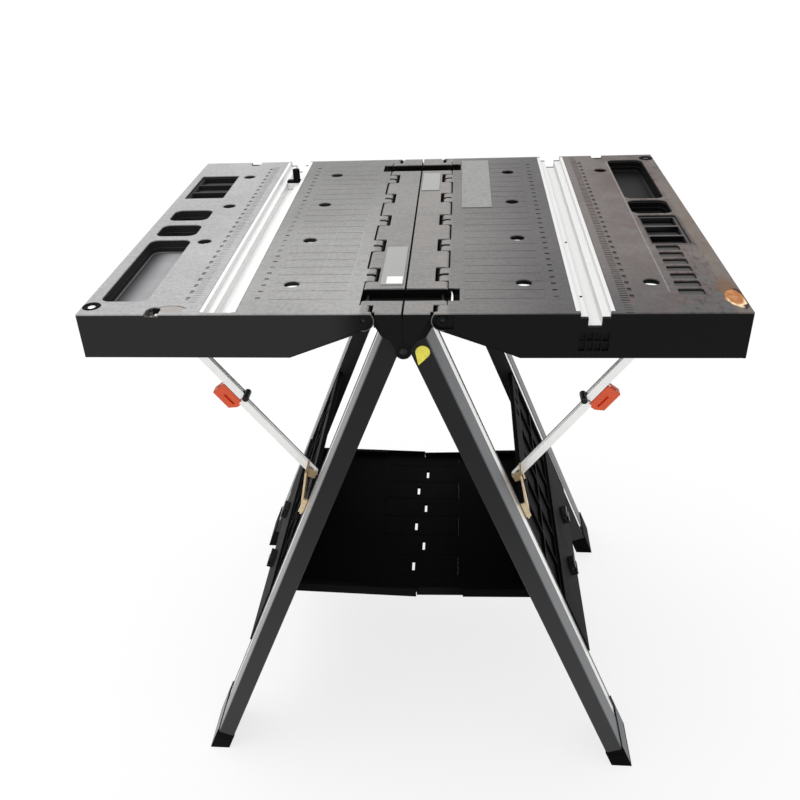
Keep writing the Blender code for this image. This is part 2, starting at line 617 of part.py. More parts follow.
def shelf_half(side):
    """Half of the lower shelf: a tray with fingers that mesh with the other half's."""
    top, bottom = SHELF_THICK / 2, -SHELF_THICK / 2
    level, under = top - SHELF_SINK, top - SHELF_SINK - SHELF_FLOOR
    root = SHELF_REACH - FINGER_ROOT
    plain = SHELF_HALF - 2 * RIM_STRIP - 2 * RUN
    shelf = box((0, root), (-plain, plain), (under, level))
    join(shelf, box((0, SHELF_WALL), (-SHELF_HALF, SHELF_HALF), (bottom, top)))
    join(shelf, rod("Y", (0, 0), SHELF_THICK / 2, (-SHELF_HALF + SEAT, SHELF_HALF - SEAT)))
    strip = (SHELF_HALF - RIM_STRIP, SHELF_HALF) if side < 0 else (SHELF_HALF - 2 * RIM_STRIP - RUN, SHELF_HALF - RIM_STRIP - RUN)
    for end in (-1, 1):
        join(shelf, box((SHELF_WALL / 2, root - RIM_RETURN), (end * (plain - RUN), end * (SHELF_HALF - SEAT / 3)), (bottom + SEAT / 3, top - SEAT / 3)))
        join(shelf, box((root - 2 * RIM_RETURN, SHELF_REACH - SEAT), (end * strip[0], end * strip[1]), (bottom + SEAT, top - SEAT)))
        join(shelf, rod("Y", (0, 0), SHELF_PIN_R, (end * (SHELF_HALF - RUN), end * (SHELF_HALF + SHELF_PIN_LENGTH)), SMALL_ROUND))
    edges = [-plain] + [(i - FINGER_COUNT / 2) * FINGER_WIDTH for i in range(FINGER_COUNT + 1)] + [plain]
    bend = Vector((math.cos(2 * SHELF_DIP), math.sin(2 * SHELF_DIP)))
    seam = Vector((SHELF_REACH, 0))
    for i in range(FINGER_COUNT + 2):
        if (i % 2 == 0) != (side > 0):
            continue
        y0, y1 = edges[i] + SEAT, edges[i + 1] - SEAT
        lower, upper = ([(root - RIM_RETURN, h), (SHELF_REACH - h * math.tan(SHELF_DIP), h),
                         tuple(seam + bend * (FINGER_ROOT - RUN) + Vector((-bend.y, bend.x)) * h)]
                        for h in (under + SEAT / 3, level - SEAT / 3))
        join(shelf, sheet(lower + upper[::-1], (y0, y1)))
        if i in (0, FINGER_COUNT + 1):
            continue
        eye = SHELF_REACH - EYE_OFFSET
        y = (y0 + y1) / 2
        cut(shelf, box((eye - EYE_WIDTH / 2, eye + EYE_WIDTH / 2), (y - EYE_LENGTH / 2, y + EYE_LENGTH / 2), (2 * bottom, 2 * top)))
    place = Matrix.Translation((-SHELF_HINGE.x, 0, SHELF_HINGE.y)) @ Matrix.Rotation(SHELF_DIP, 4, "Y")
    reshape(shelf, place)
    finish(hand(shelf, -side), f"shelf_{NAMES[side]}", BLACK_PLASTIC, SHELF[side])


def brace(side):
    """Folding brace: bracket, two links that meet at a riveted knee, anchor and release lever."""
    foot, head = tuple(BRACE_FOOT), tuple(BRACE_HEAD)
    tilt = math.degrees(math.atan2(BRACE_U.y, BRACE_U.x))
    knee = brace_point(BRACE_LOWER, KNEE_OFFSET)
    lower = sheet(arc(foot, BRACE_HALF, tilt + 90, tilt + 270, 8)
                  + [brace_point(BRACE_LOWER - SEAT, -BRACE_HALF), brace_point(BRACE_LOWER - SEAT, BRACE_HALF)], LOWER_LANE)
    join(lower, rod("Y", knee, KNEE_R, LOWER_LANE))
    cut(lower, rod("Y", foot, BRACE_PIN_R + SEAT, (-TABLE_DEPTH, TABLE_DEPTH), SMALL_ROUND))
    cut(lower, rod("Y", knee, RIVET_R + SEAT, (-TABLE_DEPTH, TABLE_DEPTH), SMALL_ROUND))
    rivet = rod("Y", knee, RIVET_R, (LOWER_LANE[0] - RIVET_HEAD, LOWER_LANE[1]), SMALL_ROUND)
    join(rivet, rod("Y", knee, RIVET_HEAD_R, (LOWER_LANE[0] - RIVET_HEAD, LOWER_LANE[0] - SEAT), SMALL_ROUND))
    upper = sheet(arc(head, BRACE_HALF, tilt - 90, tilt + 90, 8)
                  + [brace_point(BRACE_LOWER + SEAT, BRACE_HALF), brace_point(BRACE_LOWER + SEAT, -BRACE_HALF)], UPPER_LANE)
    join(upper, rod("Y", knee, KNEE_R, UPPER_LANE))
    lug_lane = (UPPER_LANE[0] + LEVER_FACE, UPPER_LANE[0] + LEVER_FACE + LEVER_LUG)
    lug_low = -BRACE_HALF - LEVER_PIN_DROP
    lug_r = LEVER_PIN_R * 2
    join(upper, sheet([brace_point(BRACE_LOWER + LEVER_REACH + lug_r, 0), brace_point(BRACE_LOWER + LEVER_REACH - lug_r, 0)]
                      + arc(LEVER_AXIS, lug_r, tilt + 180, tilt + 360, 8), lug_lane))
    cut(upper, rod("Y", head, BRACE_PIN_R + SEAT, (-TABLE_DEPTH, TABLE_DEPTH), SMALL_ROUND))
    cut(upper, rod("Y", LEVER_AXIS, LEVER_PIN_R + SEAT, (-TABLE_DEPTH, TABLE_DEPTH), SMALL_ROUND))

    lever_lane = (UPPER_LANE[0], UPPER_LANE[0] + LEVER_WIDTH)
    near, far = BRACE_LOWER - LEVER_START, BRACE_LOWER + LEVER_REACH
    roof, floor = -BRACE_HALF - RUN, -BRACE_HALF - LEVER_DEPTH
    lever = sheet([brace_point(near, roof), brace_point(near, (roof + floor) / 2), brace_point(near + LEVER_START, floor),
                   brace_point(far + lug_r, floor), brace_point(far + lug_r, roof - LEVER_PIN_R), brace_point(far, roof)], lever_lane)
    cut(lever, sheet([brace_point(far - lug_r - RUN, floor / 1.4), brace_point(far + 3 * lug_r, floor / 1.4),
                      brace_point(far + 3 * lug_r, 0), brace_point(far - lug_r - RUN, 0)],
                     (lug_lane[0] - RUN, lug_lane[1] + RUN)))
    slot = (roof + floor) / 2
    cut(lever, sheet([brace_point(near + LEVER_START, slot - LEVER_SLOT_WIDTH / 2), brace_point(near + LEVER_START + LEVER_SLOT, slot - LEVER_SLOT_WIDTH / 2),
                      brace_point(near + LEVER_START + LEVER_SLOT, slot + LEVER_SLOT_WIDTH / 2), brace_point(near + LEVER_START, slot + LEVER_SLOT_WIDTH / 2)],
                     (lever_lane[0] - LEVER_LUG, lever_lane[0] + LEVER_SLOT_DEPTH)))
    pin_end = UPPER_LANE[0] + LEVER_FACE / 2
    cut(lever, rod("Y", LEVER_AXIS, LEVER_PIN_R + SEAT, (pin_end, TABLE_DEPTH), SMALL_ROUND))
    lever_pin = rod("Y", LEVER_AXIS, LEVER_PIN_R, (pin_end + SEAT, lever_lane[1] - SEAT), SMALL_ROUND)

    lug = (LOWER_LANE[0] - RUN - BRACKET_WALL, LOWER_LANE[0] - RUN)
    plane = LEG_OUT + BRACKET_STEP
    low, high = -BRACE_A - BRACKET_DOWN, -BRACE_A + BRACKET_UP
    tab = low + BRACKET_WALL, low + BRACKET_WALL + BRACKET_TAB
    bracket = box((LEG_IN + LEG_WALL, plane + 2 * BRACKET_WALL), (-LEG_BACK + SEAT, -LEG_BACK + SEAT + BRACKET_WALL), tab)
    strip = [(plane, low), (plane + BRACKET_WALL, low), (BRACKET_REACH, high), (BRACKET_REACH - BRACKET_WALL, high)]
    join(bracket, sheet(strip, (-LEG_BACK + 2 * SEAT, lug[1])))
    join(bracket, box((LEG_OUT + SEAT, BRACKET_REACH - BRACKET_WALL), (lug[0], lug[1] - SEAT / 3), (-BRACE_A - 2 * BRACE_PIN_R, -BRACE_A + 2 * BRACE_PIN_R)))
    reshape(bracket, RIGHT_FRAME)
    join(bracket, rod("Y", foot, BRACE_PIN_R, (lug[0] + SEAT, LOWER_LANE[1]), SMALL_ROUND))

    under = (TOP_HEIGHT - TRAY_DEEP - TRAY_WALL if side < 0 else UNDER_DECK) - SEAT
    plate = (UPPER_LANE[1] + RUN, UPPER_LANE[1] + RUN + ANCHOR_THICK)
    r = 2.4 * BRACE_PIN_R
    anchor = sheet([(head[0] - ANCHOR_HALF, under), (head[0] - ANCHOR_HALF, under - ANCHOR_THICK)]
                   + arc(head, r, 180, 360, 8)
                   + [(head[0] + ANCHOR_HALF, under - ANCHOR_THICK), (head[0] + ANCHOR_HALF, under)], plate)
    join(anchor, box((head[0] - ANCHOR_HALF, head[0] + ANCHOR_HALF), (plate[0] + SEAT, plate[0] + ANCHOR_FLANGE), (under - ANCHOR_THICK / 2, under)))
    join(anchor, rod("Y", head, BRACE_PIN_R, (UPPER_LANE[0], plate[1] - SEAT), SMALL_ROUND))

    tail = NAMES[side]
    finish(hand(bracket, side), f"brace_bracket_{tail}", ZINC, FRAME[side])
    finish(hand(lower, side), f"brace_lower_{tail}", BRACE_METAL, LOWER[side])
    finish(hand(rivet, side), f"brace_rivet_{tail}", DARK_STEEL, LOWER[side], True)
    finish(hand(upper, side), f"brace_upper_{tail}", BRACE_METAL, UPPER[side])
    finish(hand(lever, side), f"lever_{tail}", ORANGE, LEVER[side])
    finish(hand(lever_pin, side), f"lever_pin_{tail}", DARK_STEEL, UPPER[side], True)
    finish(hand(anchor, side), f"brace_anchor_{tail}", BRACE_METAL, WING[side])


def ribbed(x0, x1, y0, y1):
    """A shallow tray with deeper pockets in it, parted by ribs."""
    rows = [(x0, x1, y0, y1, TRAY_SHALLOW, SLIT_R)]
    room = (y1 - y0 - 2 * RIB_EDGE + RIB) / RIB_ROWS
    for i in range(RIB_ROWS):
        low = y0 + RIB_EDGE + i * room
        rows.append((x0 + RIB_EDGE, x1 - RIB_EDGE, low, low + room - RIB, TRAY_HALF_DEEP, SLIT_R))
    return rows


def tray_list(side):
    """Trays of a wing as (inner x, outer x, front y, back y, depth, corner radius)."""
    rows = []
    if side < 0:
        outer = HALF_WIDTH - TRAY_EDGE
        y = -HALF_DEPTH + TRAY_INSET
        for length, gap in ((LONG_TRAY, POCKET_GAP), (POCKET, POCKET_SPACE), (POCKET, POCKET_SPACE)):
            rows.append((outer - TRAY_WIDTH, outer, y, y + length, TRAY_DEEP, TRAY_R))
            y += length + gap
        outer, y = HALF_WIDTH - WIDE_TRAY_EDGE, HALF_DEPTH - WIDE_TRAY_INSET
        return rows + ribbed(outer - WIDE_TRAY_WIDTH, outer, y - WIDE_TRAY, y)
    outer = HALF_WIDTH - RIGHT_EDGE
    y = HALF_DEPTH - RIGHT_INSET
    for length, gap in ((RIGHT_LONG_TRAY, RIGHT_GAP), (RIGHT_POCKET, RIBBED_GAP)):
        rows.append((outer - RIGHT_WIDTH, outer, y - length, y, TRAY_DEEP, TRAY_R))
        y -= length + gap
    rows += ribbed(outer - RIBBED_WIDTH, outer, y - RIBBED_TRAY, y)
    y -= RIBBED_TRAY + RIBBED_GAP
    outer = HALF_WIDTH - SLIT_EDGE
    for _ in range(SLIT_COUNT):
        rows.append((outer - SLIT_WIDTH, outer, y - SLIT_LENGTH, y, TRAY_SHALLOW, SLIT_R))
        y -= SLIT_LENGTH + SLIT_GAP
    return rows


TRAYS = {s: tray_list(s) for s in (-1, 1)}
DOGS = {-1: [(DOG_OUTER_X, DOG_FAR_Y), (DOG_OUTER_X, DOG_NEAR_Y), (DOG_OUTER_X, -DOG_NEAR_Y)],
        1: [(DOG_OUTER_X, DOG_FAR_Y), (DOG_OUTER_X, -DOG_FAR_Y)]}
NOTCHES = {-1: (-1, 1), 1: (1,)}
SLOT_ENDS = {-1: (1,), 1: (-1, 1)}
CORNER = {-1: -CORNER_HOLE_Y, 1: CORNER_HOLE_Y}
RAIL_OPEN = {-1: (1,), 1: (-1, 1)}


def wing(side):
    """One moulded wing with its hinge barrels, holes, trays and rail bed."""
    inner = HALF_WIDTH - SKIRT_WALL
    hinge = (HINGE_X, HINGE_Z)
    deck = sheet([(HALF_WIDTH, TOP_HEIGHT)] + arc(hinge, KNUCKLE_R, 90, 270, ROUND // 2)
                 + [(HINGE_X + NOSE_RUN, SKIRT_Z), (HALF_WIDTH, SKIRT_Z)], (-HALF_DEPTH, HALF_DEPTH))
    bed, bed_z = RAIL_WIDTH / 2 + RAIL_BED, TOP_HEIGHT - RAIL_HEIGHT - RAIL_BED
    below = SKIRT_Z - SKIRT_WALL
    nose = KNUCKLE_R + 2 * RUN
    hollow = arc(hinge, nose, -90, 0, ROUND // 4) + [
        (HINGE_X + nose, UNDER_DECK), (RAIL_X - bed, UNDER_DECK), (RAIL_X - bed, bed_z),
        (RAIL_X + bed, bed_z), (RAIL_X + bed, UNDER_DECK), (inner, UNDER_DECK), (inner, below), (HINGE_X, below)]
    cut(deck, sheet(hollow, (-HALF_DEPTH + SKIRT_WALL, HALF_DEPTH - SKIRT_WALL)))
    corner = math.degrees(math.asin(KNUCKLE_R / NOSE_R))
    run = Vector((NOSE_RUN, SKIRT_Z - HINGE_Z))
    tangent = math.degrees(math.atan2(run.y, run.x) - math.acos(NOSE_R / run.length)) + 360
    plate = arc(hinge, NOSE_R, 180 - corner, tangent, ROUND // 2) + [
        (HINGE_X + NOSE_RUN, SKIRT_Z), (HINGE_X + NOSE_RUN, TOP_HEIGHT - SEAT / 3), (HINGE_X, TOP_HEIGHT - SEAT / 3)]
    for end in (-1, 1):
        join(deck, sheet(plate, (end * (HALF_DEPTH - SKIRT_WALL), end * (HALF_DEPTH - SEAT / 3))))
    for x0, x1, y0, y1, depth, _ in TRAYS[side]:
        if depth > DECK_THICK - TRAY_WALL:
            join(deck, box((x0 - TRAY_WALL, x1 + TRAY_WALL), (y0 - TRAY_WALL, y1 + TRAY_WALL),
                           (TOP_HEIGHT - depth - TRAY_WALL, UNDER_DECK + DECK_THICK / 2)))
    rows = wing_knuckles()
    for (_, low), (high, _) in zip(rows, rows[1:]):
        cut(deck, box((HINGE_X - 2 * KNUCKLE_R, SEAM_X + SEAT), (low, high), (SKIRT_Z - KNUCKLE_R, TOP_HEIGHT + KNUCKLE_R)))
        cut(deck, rod("Y", hinge, nose + RUN, (low, high)))
    cut(deck, rod("Y", hinge, HINGE_PIN_R + SEAT, (-TABLE_DEPTH, TABLE_DEPTH), SMALL_ROUND))
    for end in SLOT_ENDS[side]:
        cut(deck, box((0, SLOT_REACH), (end * (SLOT_Y - SLOT_LENGTH / 2), end * (SLOT_Y + SLOT_LENGTH / 2)), (0, 2 * TOP_HEIGHT)))
    groove = RAIL_WIDTH / 2 + SEAT
    stop = HALF_DEPTH - SKIRT_WALL
    w, m, g = RAIL_WIDTH / 2, RAIL_MOUTH / 2, RAIL_GROOVE / 2
    low, step, base = TOP_HEIGHT - RAIL_DEPTH, TOP_HEIGHT - RAIL_STEP, TOP_HEIGHT - RAIL_HEIGHT
    cut(deck, box((RAIL_X - groove, RAIL_X + groove), (-stop, stop), (base - SEAT, 2 * TOP_HEIGHT)))
    mouth = [(-g, low), (g, low), (g, step), (m, step), (m, 2 * TOP_HEIGHT), (-m, 2 * TOP_HEIGHT), (-m, step), (-g, step)]
    for end in RAIL_OPEN[side]:
        cut(deck, sheet([(RAIL_X + x, z) for x, z in mouth], (end * (stop - SKIRT_WALL), end * TABLE_DEPTH)))
    for x0, x1, y0, y1, depth, radius in TRAYS[side]:
        cut(deck, sheet(rounded((x0, x1), (y0, y1), radius), (TOP_HEIGHT - depth, TOP_HEIGHT + depth), "Z"))
    holes = DOGS[side] + [(DOG_INNER_X, y) for y in (-DOG_FAR_Y, -DOG_NEAR_Y, DOG_NEAR_Y, DOG_FAR_Y)]
    for x, y in holes:
        cut(deck, rod("Z", (x, y), DOG_R, (SKIRT_Z, 2 * TOP_HEIGHT)))
    for end in NOTCHES[side]:
        mouth = HALF_DEPTH - NOTCH_LENGTH + NOTCH_WIDTH / 2
        notch = arc((NOTCH_X, 0), NOTCH_WIDTH / 2, 180, 360, 10)
        for reach, floor in ((TABLE_DEPTH, TOP_HEIGHT - NOTCH_LIP), (stop, UNDER_DECK - NOTCH_LIP)):
            outline = [(x, end * (y + mouth)) for x, y in notch] + [
                (NOTCH_X + NOTCH_WIDTH / 2, end * reach), (NOTCH_X - NOTCH_WIDTH / 2, end * reach)]
            cut(deck, sheet(outline, (floor, 2 * TOP_HEIGHT), "Z"))
    cut(deck, rod("Z", (CORNER_HOLE_X, CORNER[side]), CORNER_HOLE_R, (SKIRT_Z, 2 * TOP_HEIGHT), SMALL_ROUND))
    if side > 0:
        for i in range(4):
            for j in range(2):
                x = RAIL_X + (i - 1.5) * (GRILLE_X + GRILLE_BAR)
                z = TOP_HEIGHT - GRILLE_DROP - j * (GRILLE_Z + GRILLE_BAR) - RAIL_STEP
                cut(deck, box((x - GRILLE_X / 2, x + GRILLE_X / 2), (-TABLE_DEPTH, -HALF_DEPTH + GRILLE_SINK), (z - GRILLE_Z, z)))
    finish(hand(deck, side), f"wing_deck_{NAMES[side]}", DECK_PLASTIC, WING[side])

    profile = [(-w, base), (w, base), (w, TOP_HEIGHT), (m, TOP_HEIGHT), (m, step), (g, step), (g, low), (-g, low), (-g, step), (-m, step), (-m, TOP_HEIGHT), (-w, TOP_HEIGHT)]
    rail = sheet([(RAIL_X + x, z) for x, z in profile], (-stop + SEAT, stop - SEAT))
    finish(hand(rail, side), f"rail_{NAMES[side]}", RAIL_METAL, WING[side])
    pin = rod("Y", (HINGE_X, HINGE_Z), HINGE_PIN_R, (-HALF_DEPTH + HINGE_PIN_INSET, HALF_DEPTH - HINGE_PIN_INSET), SMALL_ROUND)
    finish(hand(pin, side), f"hinge_pin_{NAMES[side]}", DARK_STEEL, FRAME[side], True)


def rail_stop():
    """Stop that slides along the left rail."""
    key = RAIL_GROOVE / 2 - SEAT
    step = TOP_HEIGHT - RAIL_STEP + SEAT
    y = (STOP_Y - STOP_LENGTH / 2, STOP_Y + STOP_LENGTH / 2)
    stop = box((RAIL_X - STOP_OFFSET - STOP_R - SEAT, RAIL_X + key + SEAT), y, (step, TOP_HEIGHT - RAIL_STEP / 2))
    join(stop, box((RAIL_X - key, RAIL_X + key), y, (TOP_HEIGHT - RAIL_DEPTH + SEAT, step + SEAT)))
    join(stop, rod("Z", (RAIL_X - STOP_OFFSET, STOP_Y), STOP_R, (step + SEAT, TOP_HEIGHT + STOP_RISE), SMALL_ROUND))
    finish(hand(stop, -1), "rail_stop", BLACK_PLASTIC, STOP)


def plates():
    """Bare plates on the top and the blank tag at the top of the front right leg."""
    z = (TOP_HEIGHT + SEAT, TOP_HEIGHT + SEAT + PLATE_THICK)
    near, far = BEAM_PLATE_EDGE, BEAM_PLATE_EDGE + BEAM_PLATE_WIDTH
    front = -HALF_DEPTH + LEFT_PLATE_INSET
    back = HALF_DEPTH - RIGHT_PLATE_INSET
    side = SEAM_X + WING_PLATE_EDGE
    rear = HALF_DEPTH - WING_PLATE_INSET
    for name, x, y, parent in (("plate_centre_left", (-far, -near), (front, front + LEFT_PLATE), FRAME[-1]),
                               ("plate_centre_right", (near, far), (back - RIGHT_PLATE, back), FRAME[1]),
                               ("plate_wing_right", (side, side + WING_PLATE_WIDTH), (rear - WING_PLATE, rear), WING[1])):
        finish(sheet(rounded(x, y, 2 * PLATE_THICK, 3), z, "Z"), name, PALE_PLATE, parent)
    head = ((LEG_IN + LEG_OUT) / 2 + TAG_OUT, -TAG_DOWN)
    tip = (head[0] - TAG_SIDE, head[1] - TAG_DROP)
    down = math.degrees(math.atan2(-TAG_DROP, -TAG_SIDE))
    spread = math.degrees(math.acos(TAG_R / math.hypot(TAG_SIDE, TAG_DROP)))
    tag = sheet(arc(head, TAG_R, down + spread, down + 360 - spread, 18) + [tip],
                (-LEG_FACE - SEAT - TAG_THICK, -LEG_FACE - SEAT))
    finish(reshape(tag, RIGHT_FRAME), "leg_tag", YELLOW, FRAME[1])


for s in (-1, 1):
    centre_beam(s)
    for e in (-1, 1):
        leg_frame(s, e)
    side_panel(s)
    shelf_half(s)
    brace(s)
    wing(s)
rail_stop()
plates()
for e, word in ((-1, "front"), (1, "rear")):
    pivot = rod("Y", (0, PIVOT_Z), PIVOT_PIN_R, (e * (EAR_INNER[0] + SEAT), e * (HALF_DEPTH - 2 * SEAT)), SMALL_ROUND)
    finish(pivot, f"pivot_pin_{word}", DARK_STEEL, FRAME[-1], True)
for empty in [o for o in PARTS.objects if o.type == "EMPTY"]:
    del empty["at"]
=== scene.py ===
"""Looks of the folding work table: mouldings, metal, worn finishes with painted light and shade, stage and camera."""

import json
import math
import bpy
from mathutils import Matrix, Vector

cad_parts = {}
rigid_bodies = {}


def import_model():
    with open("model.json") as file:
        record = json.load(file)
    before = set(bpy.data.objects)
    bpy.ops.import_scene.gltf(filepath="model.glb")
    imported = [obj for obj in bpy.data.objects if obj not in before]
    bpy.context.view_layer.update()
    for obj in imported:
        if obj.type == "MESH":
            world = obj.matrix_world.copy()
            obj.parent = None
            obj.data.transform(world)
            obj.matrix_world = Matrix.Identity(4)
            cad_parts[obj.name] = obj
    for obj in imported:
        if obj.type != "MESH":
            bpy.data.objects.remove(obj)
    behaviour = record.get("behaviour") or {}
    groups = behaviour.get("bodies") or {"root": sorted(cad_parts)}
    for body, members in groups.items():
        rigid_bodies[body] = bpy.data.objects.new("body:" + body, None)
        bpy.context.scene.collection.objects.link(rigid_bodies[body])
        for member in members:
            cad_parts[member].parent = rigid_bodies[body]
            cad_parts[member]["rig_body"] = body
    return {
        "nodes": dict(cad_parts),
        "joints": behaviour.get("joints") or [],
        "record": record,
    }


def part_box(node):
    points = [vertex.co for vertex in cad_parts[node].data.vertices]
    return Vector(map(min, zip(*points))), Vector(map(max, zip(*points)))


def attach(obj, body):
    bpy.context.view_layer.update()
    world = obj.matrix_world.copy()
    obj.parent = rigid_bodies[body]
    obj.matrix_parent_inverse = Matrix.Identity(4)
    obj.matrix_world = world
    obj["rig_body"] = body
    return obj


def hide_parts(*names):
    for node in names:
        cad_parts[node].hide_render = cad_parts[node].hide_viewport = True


bl_info = {
    "name": "Folding work table",
    "version": (1, 0, 0),
    "blender": (4, 5, 0),
    "location": "View3D > Sidebar > Work table",
    "description": "Dresses the packed folding work table and sets up its stage",
    "category": "Object",
}

import bmesh
import bpy
from bpy.props import FloatProperty, FloatVectorProperty, PointerProperty
from bpy.types import Operator, Panel, PropertyGroup
from mathutils import Matrix, Vector

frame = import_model()
NODES = frame["nodes"]
SLOT_OF = {row["node"]: row["material_slot"] for row in frame["record"]["subparts"]}
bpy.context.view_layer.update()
SIDES = (("left", -1), ("right", 1))
ENDS = (("front", -1), ("rear", 1))
SHARP_ANGLE = math.radians(35)

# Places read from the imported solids
WING_LOW, WING_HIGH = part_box("wing_deck_right")
TOP = WING_HIGH.z
SKIRT = WING_LOW.z
HALF_WIDTH = WING_HIGH.x
HALF_DEPTH = WING_HIGH.y
RAIL_LOW, RAIL_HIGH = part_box("rail_right")
RAIL_X = (RAIL_LOW.x + RAIL_HIGH.x) / 2
SCREW_X = RAIL_X - 0.0102
JOINTS = {joint["name"]: joint for joint in frame["joints"]}
PIVOT_Z = JOINTS["leg_fold"]["pos_m"][2]
HINGE_X, _, HINGE_Z = JOINTS["wing_fold_right"]["pos_m"]
BRACE_FOOT = Vector(JOINTS["brace_lower_fold_right"]["pos_m"])
BRACE_HEAD = Vector(JOINTS["brace_upper_fold_right"]["pos_m"])
SHELF_HINGE = Vector(JOINTS["shelf_fold_right"]["pos_m"])
FINGER_TIP = -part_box("shelf_right")[0].x

# Places on the legs
LEAN = math.radians(22.4)
LEG_OUT = 0.0292
LEG_STRIP_Y = 0.248
LEG_BACK_Y = 0.220
LEG_FRONT_Y = 0.302

# Places on the wings and the beam
RAIL_STEP = 0.007
TRAY_FLOOR = TOP - 0.0200
POCKET_FLOOR = TOP - 0.0120
SLIT_FLOOR = TOP - 0.0035
TRAY_X = 0.300
DOG_ROWS = (-0.232, -0.0775, 0.0775, 0.232)
DOGS = {side: [(side * 0.144, y) for y in DOG_ROWS] for side in (-1, 1)}
DOGS[-1] += [(-0.296, 0.232), (-0.296, 0.0775), (-0.296, -0.0775)]
DOGS[1] += [(0.296, 0.232), (0.296, -0.232)]
DOG_SINK = 0.0152
EYELETS = {-1: (-0.3805, -0.297), 1: (0.3805, 0.297)}
EYELET_HOLE = 0.0056
SLOT_ENDS = {-1: (1,), 1: (-1, 1)}
SLOT_BACK = {-1: -0.248, 1: 0.284}
SLOT_RIB_X = (0.058, 0.068)
SLOT_RIB_Y = (-0.0002, 0.0020)
SLOT_RIB_Z = (0.7945, 0.8065)
NOSE_REACH = 0.170
KNUCKLE_PITCH = 0.102
KNUCKLES = [(i - 2) * KNUCKLE_PITCH for i in range(5)]
SEAMS = [(i - 1.5) * KNUCKLE_PITCH for i in range(4)]
SEAM_INNER_X, SEAM_X = 0.0500, 0.0523
SEAM_HALF, SEAM_DEPTH = 0.0300, 0.0060
GAP_X, GAP_Y = (0.0356, 0.0600), (0.0190, 0.0206)
DASH_X, DASH_Y, DASH_DEPTH = (0.0400, 0.0520), (-0.0040, 0.0034), 0.0080
TICKS = (0.2526, 0.2620)
TICK_WIDTH, TICK_DEPTH, TICK_REACH = 0.0022, 0.0005, 0.29
SQUARES = (((0.2636, 0.2686), 0.0045), ((0.1763, 0.1823), 0.0020))
SQUARE_DEPTH, SQUARE_REACH = 0.0014, 0.285
GROOVES, GROOVE_REACH = (0.072, 0.166), 0.28
SCREWS = (-0.2600, -0.0800)
SHEET_X, SHEET_Y = (-0.1105, -0.0695), (-0.2805, -0.0445)
SHEET_LINE = 0.0012
LEDGE_X = (0.3108, 0.3126)
NOTCH_SPOT = (-0.2780, -0.3065)
HALO, BURN = (0.3790, -0.258), (0.3812, -0.281)
PLATE_PATCH_X, PLATE_PATCH_Y = (-0.0250, -0.0052), (-0.2350, -0.2130)
CLEAR = 0.01

# Outlines of turned details, as radius and height
HINGE_BOSS = [(0.0030, 0.0028), (0.0030, 0.0006), (0.0034, 0.0002),
              (0.0060, 0.0002), (0.0068, 0.0008), (0.0068, 0.0028)]
PIVOT_RING = [(0.0064, -0.002), (0.0074, -0.002), (0.0074, 0.0010), (0.0064, 0.0010)]
CORNER_PLUG = [(0, -0.005), (0.0055, -0.005), (0.0055, -0.0014),
               (0.0048, -0.0005), (0.0030, 0.0001), (0, 0.0003)]

# Stage
FLOOR_HALF = 16.0
KEY_WAY = Vector((0.28, -0.12, -1.00))


def length(name, description, default):
    return FloatProperty(name=name, description=description, default=default, subtype="DISTANCE", unit="LENGTH")


def angle(name, description, degrees):
    return FloatProperty(name=name, description=description, default=math.radians(degrees),
                         subtype="ANGLE", unit="ROTATION")


def colour(name, description, default):
    return FloatVectorProperty(name=name, description=description, default=default,
                               subtype="COLOR", size=3, min=0.0, max=1.0)


class TableSizes(PropertyGroup):
    edge: length("Edge round", "Round on the rims of the mouldings", 0.0009)
    corner: length("Corner round", "Round on the upright corners of the wings", 0.0016)
    fillet: length("Tray fillet", "Round between the wall and the floor of a tray", 0.004)
    groove_pitch: length("Groove pitch", "Distance between the cross grooves of the inner panels", 0.0254)
    groove_width: length("Groove width", "Width of a cross groove", 0.0010)
    groove_depth: length("Groove depth", "Depth of a cross groove", 0.0008)
    tick_pitch: length("Tick pitch", "Distance between the ruler ticks beside a rail", 0.0065)
    mark_pitch: length("Mark pitch", "Distance between the square marks beside a rail", 0.0196)
    seam: length("Seam", "Half of the gap that shows between the mouldings of the top", 0.0013)
    eyelet: length("Eyelet", "Radius of the eyelet at a corner of a wing", 0.0114)
    screw: length("Screw head", "Radius of a small screw head", 0.0017)
    leg_edge: length("Leg edge", "Round on the long edges of a leg tube", 0.0030)
    lever_edge: length("Lever edge", "Round on the release levers", 0.0011)
    small_edge: length("Small edge", "Round on small metal pieces", 0.0005)


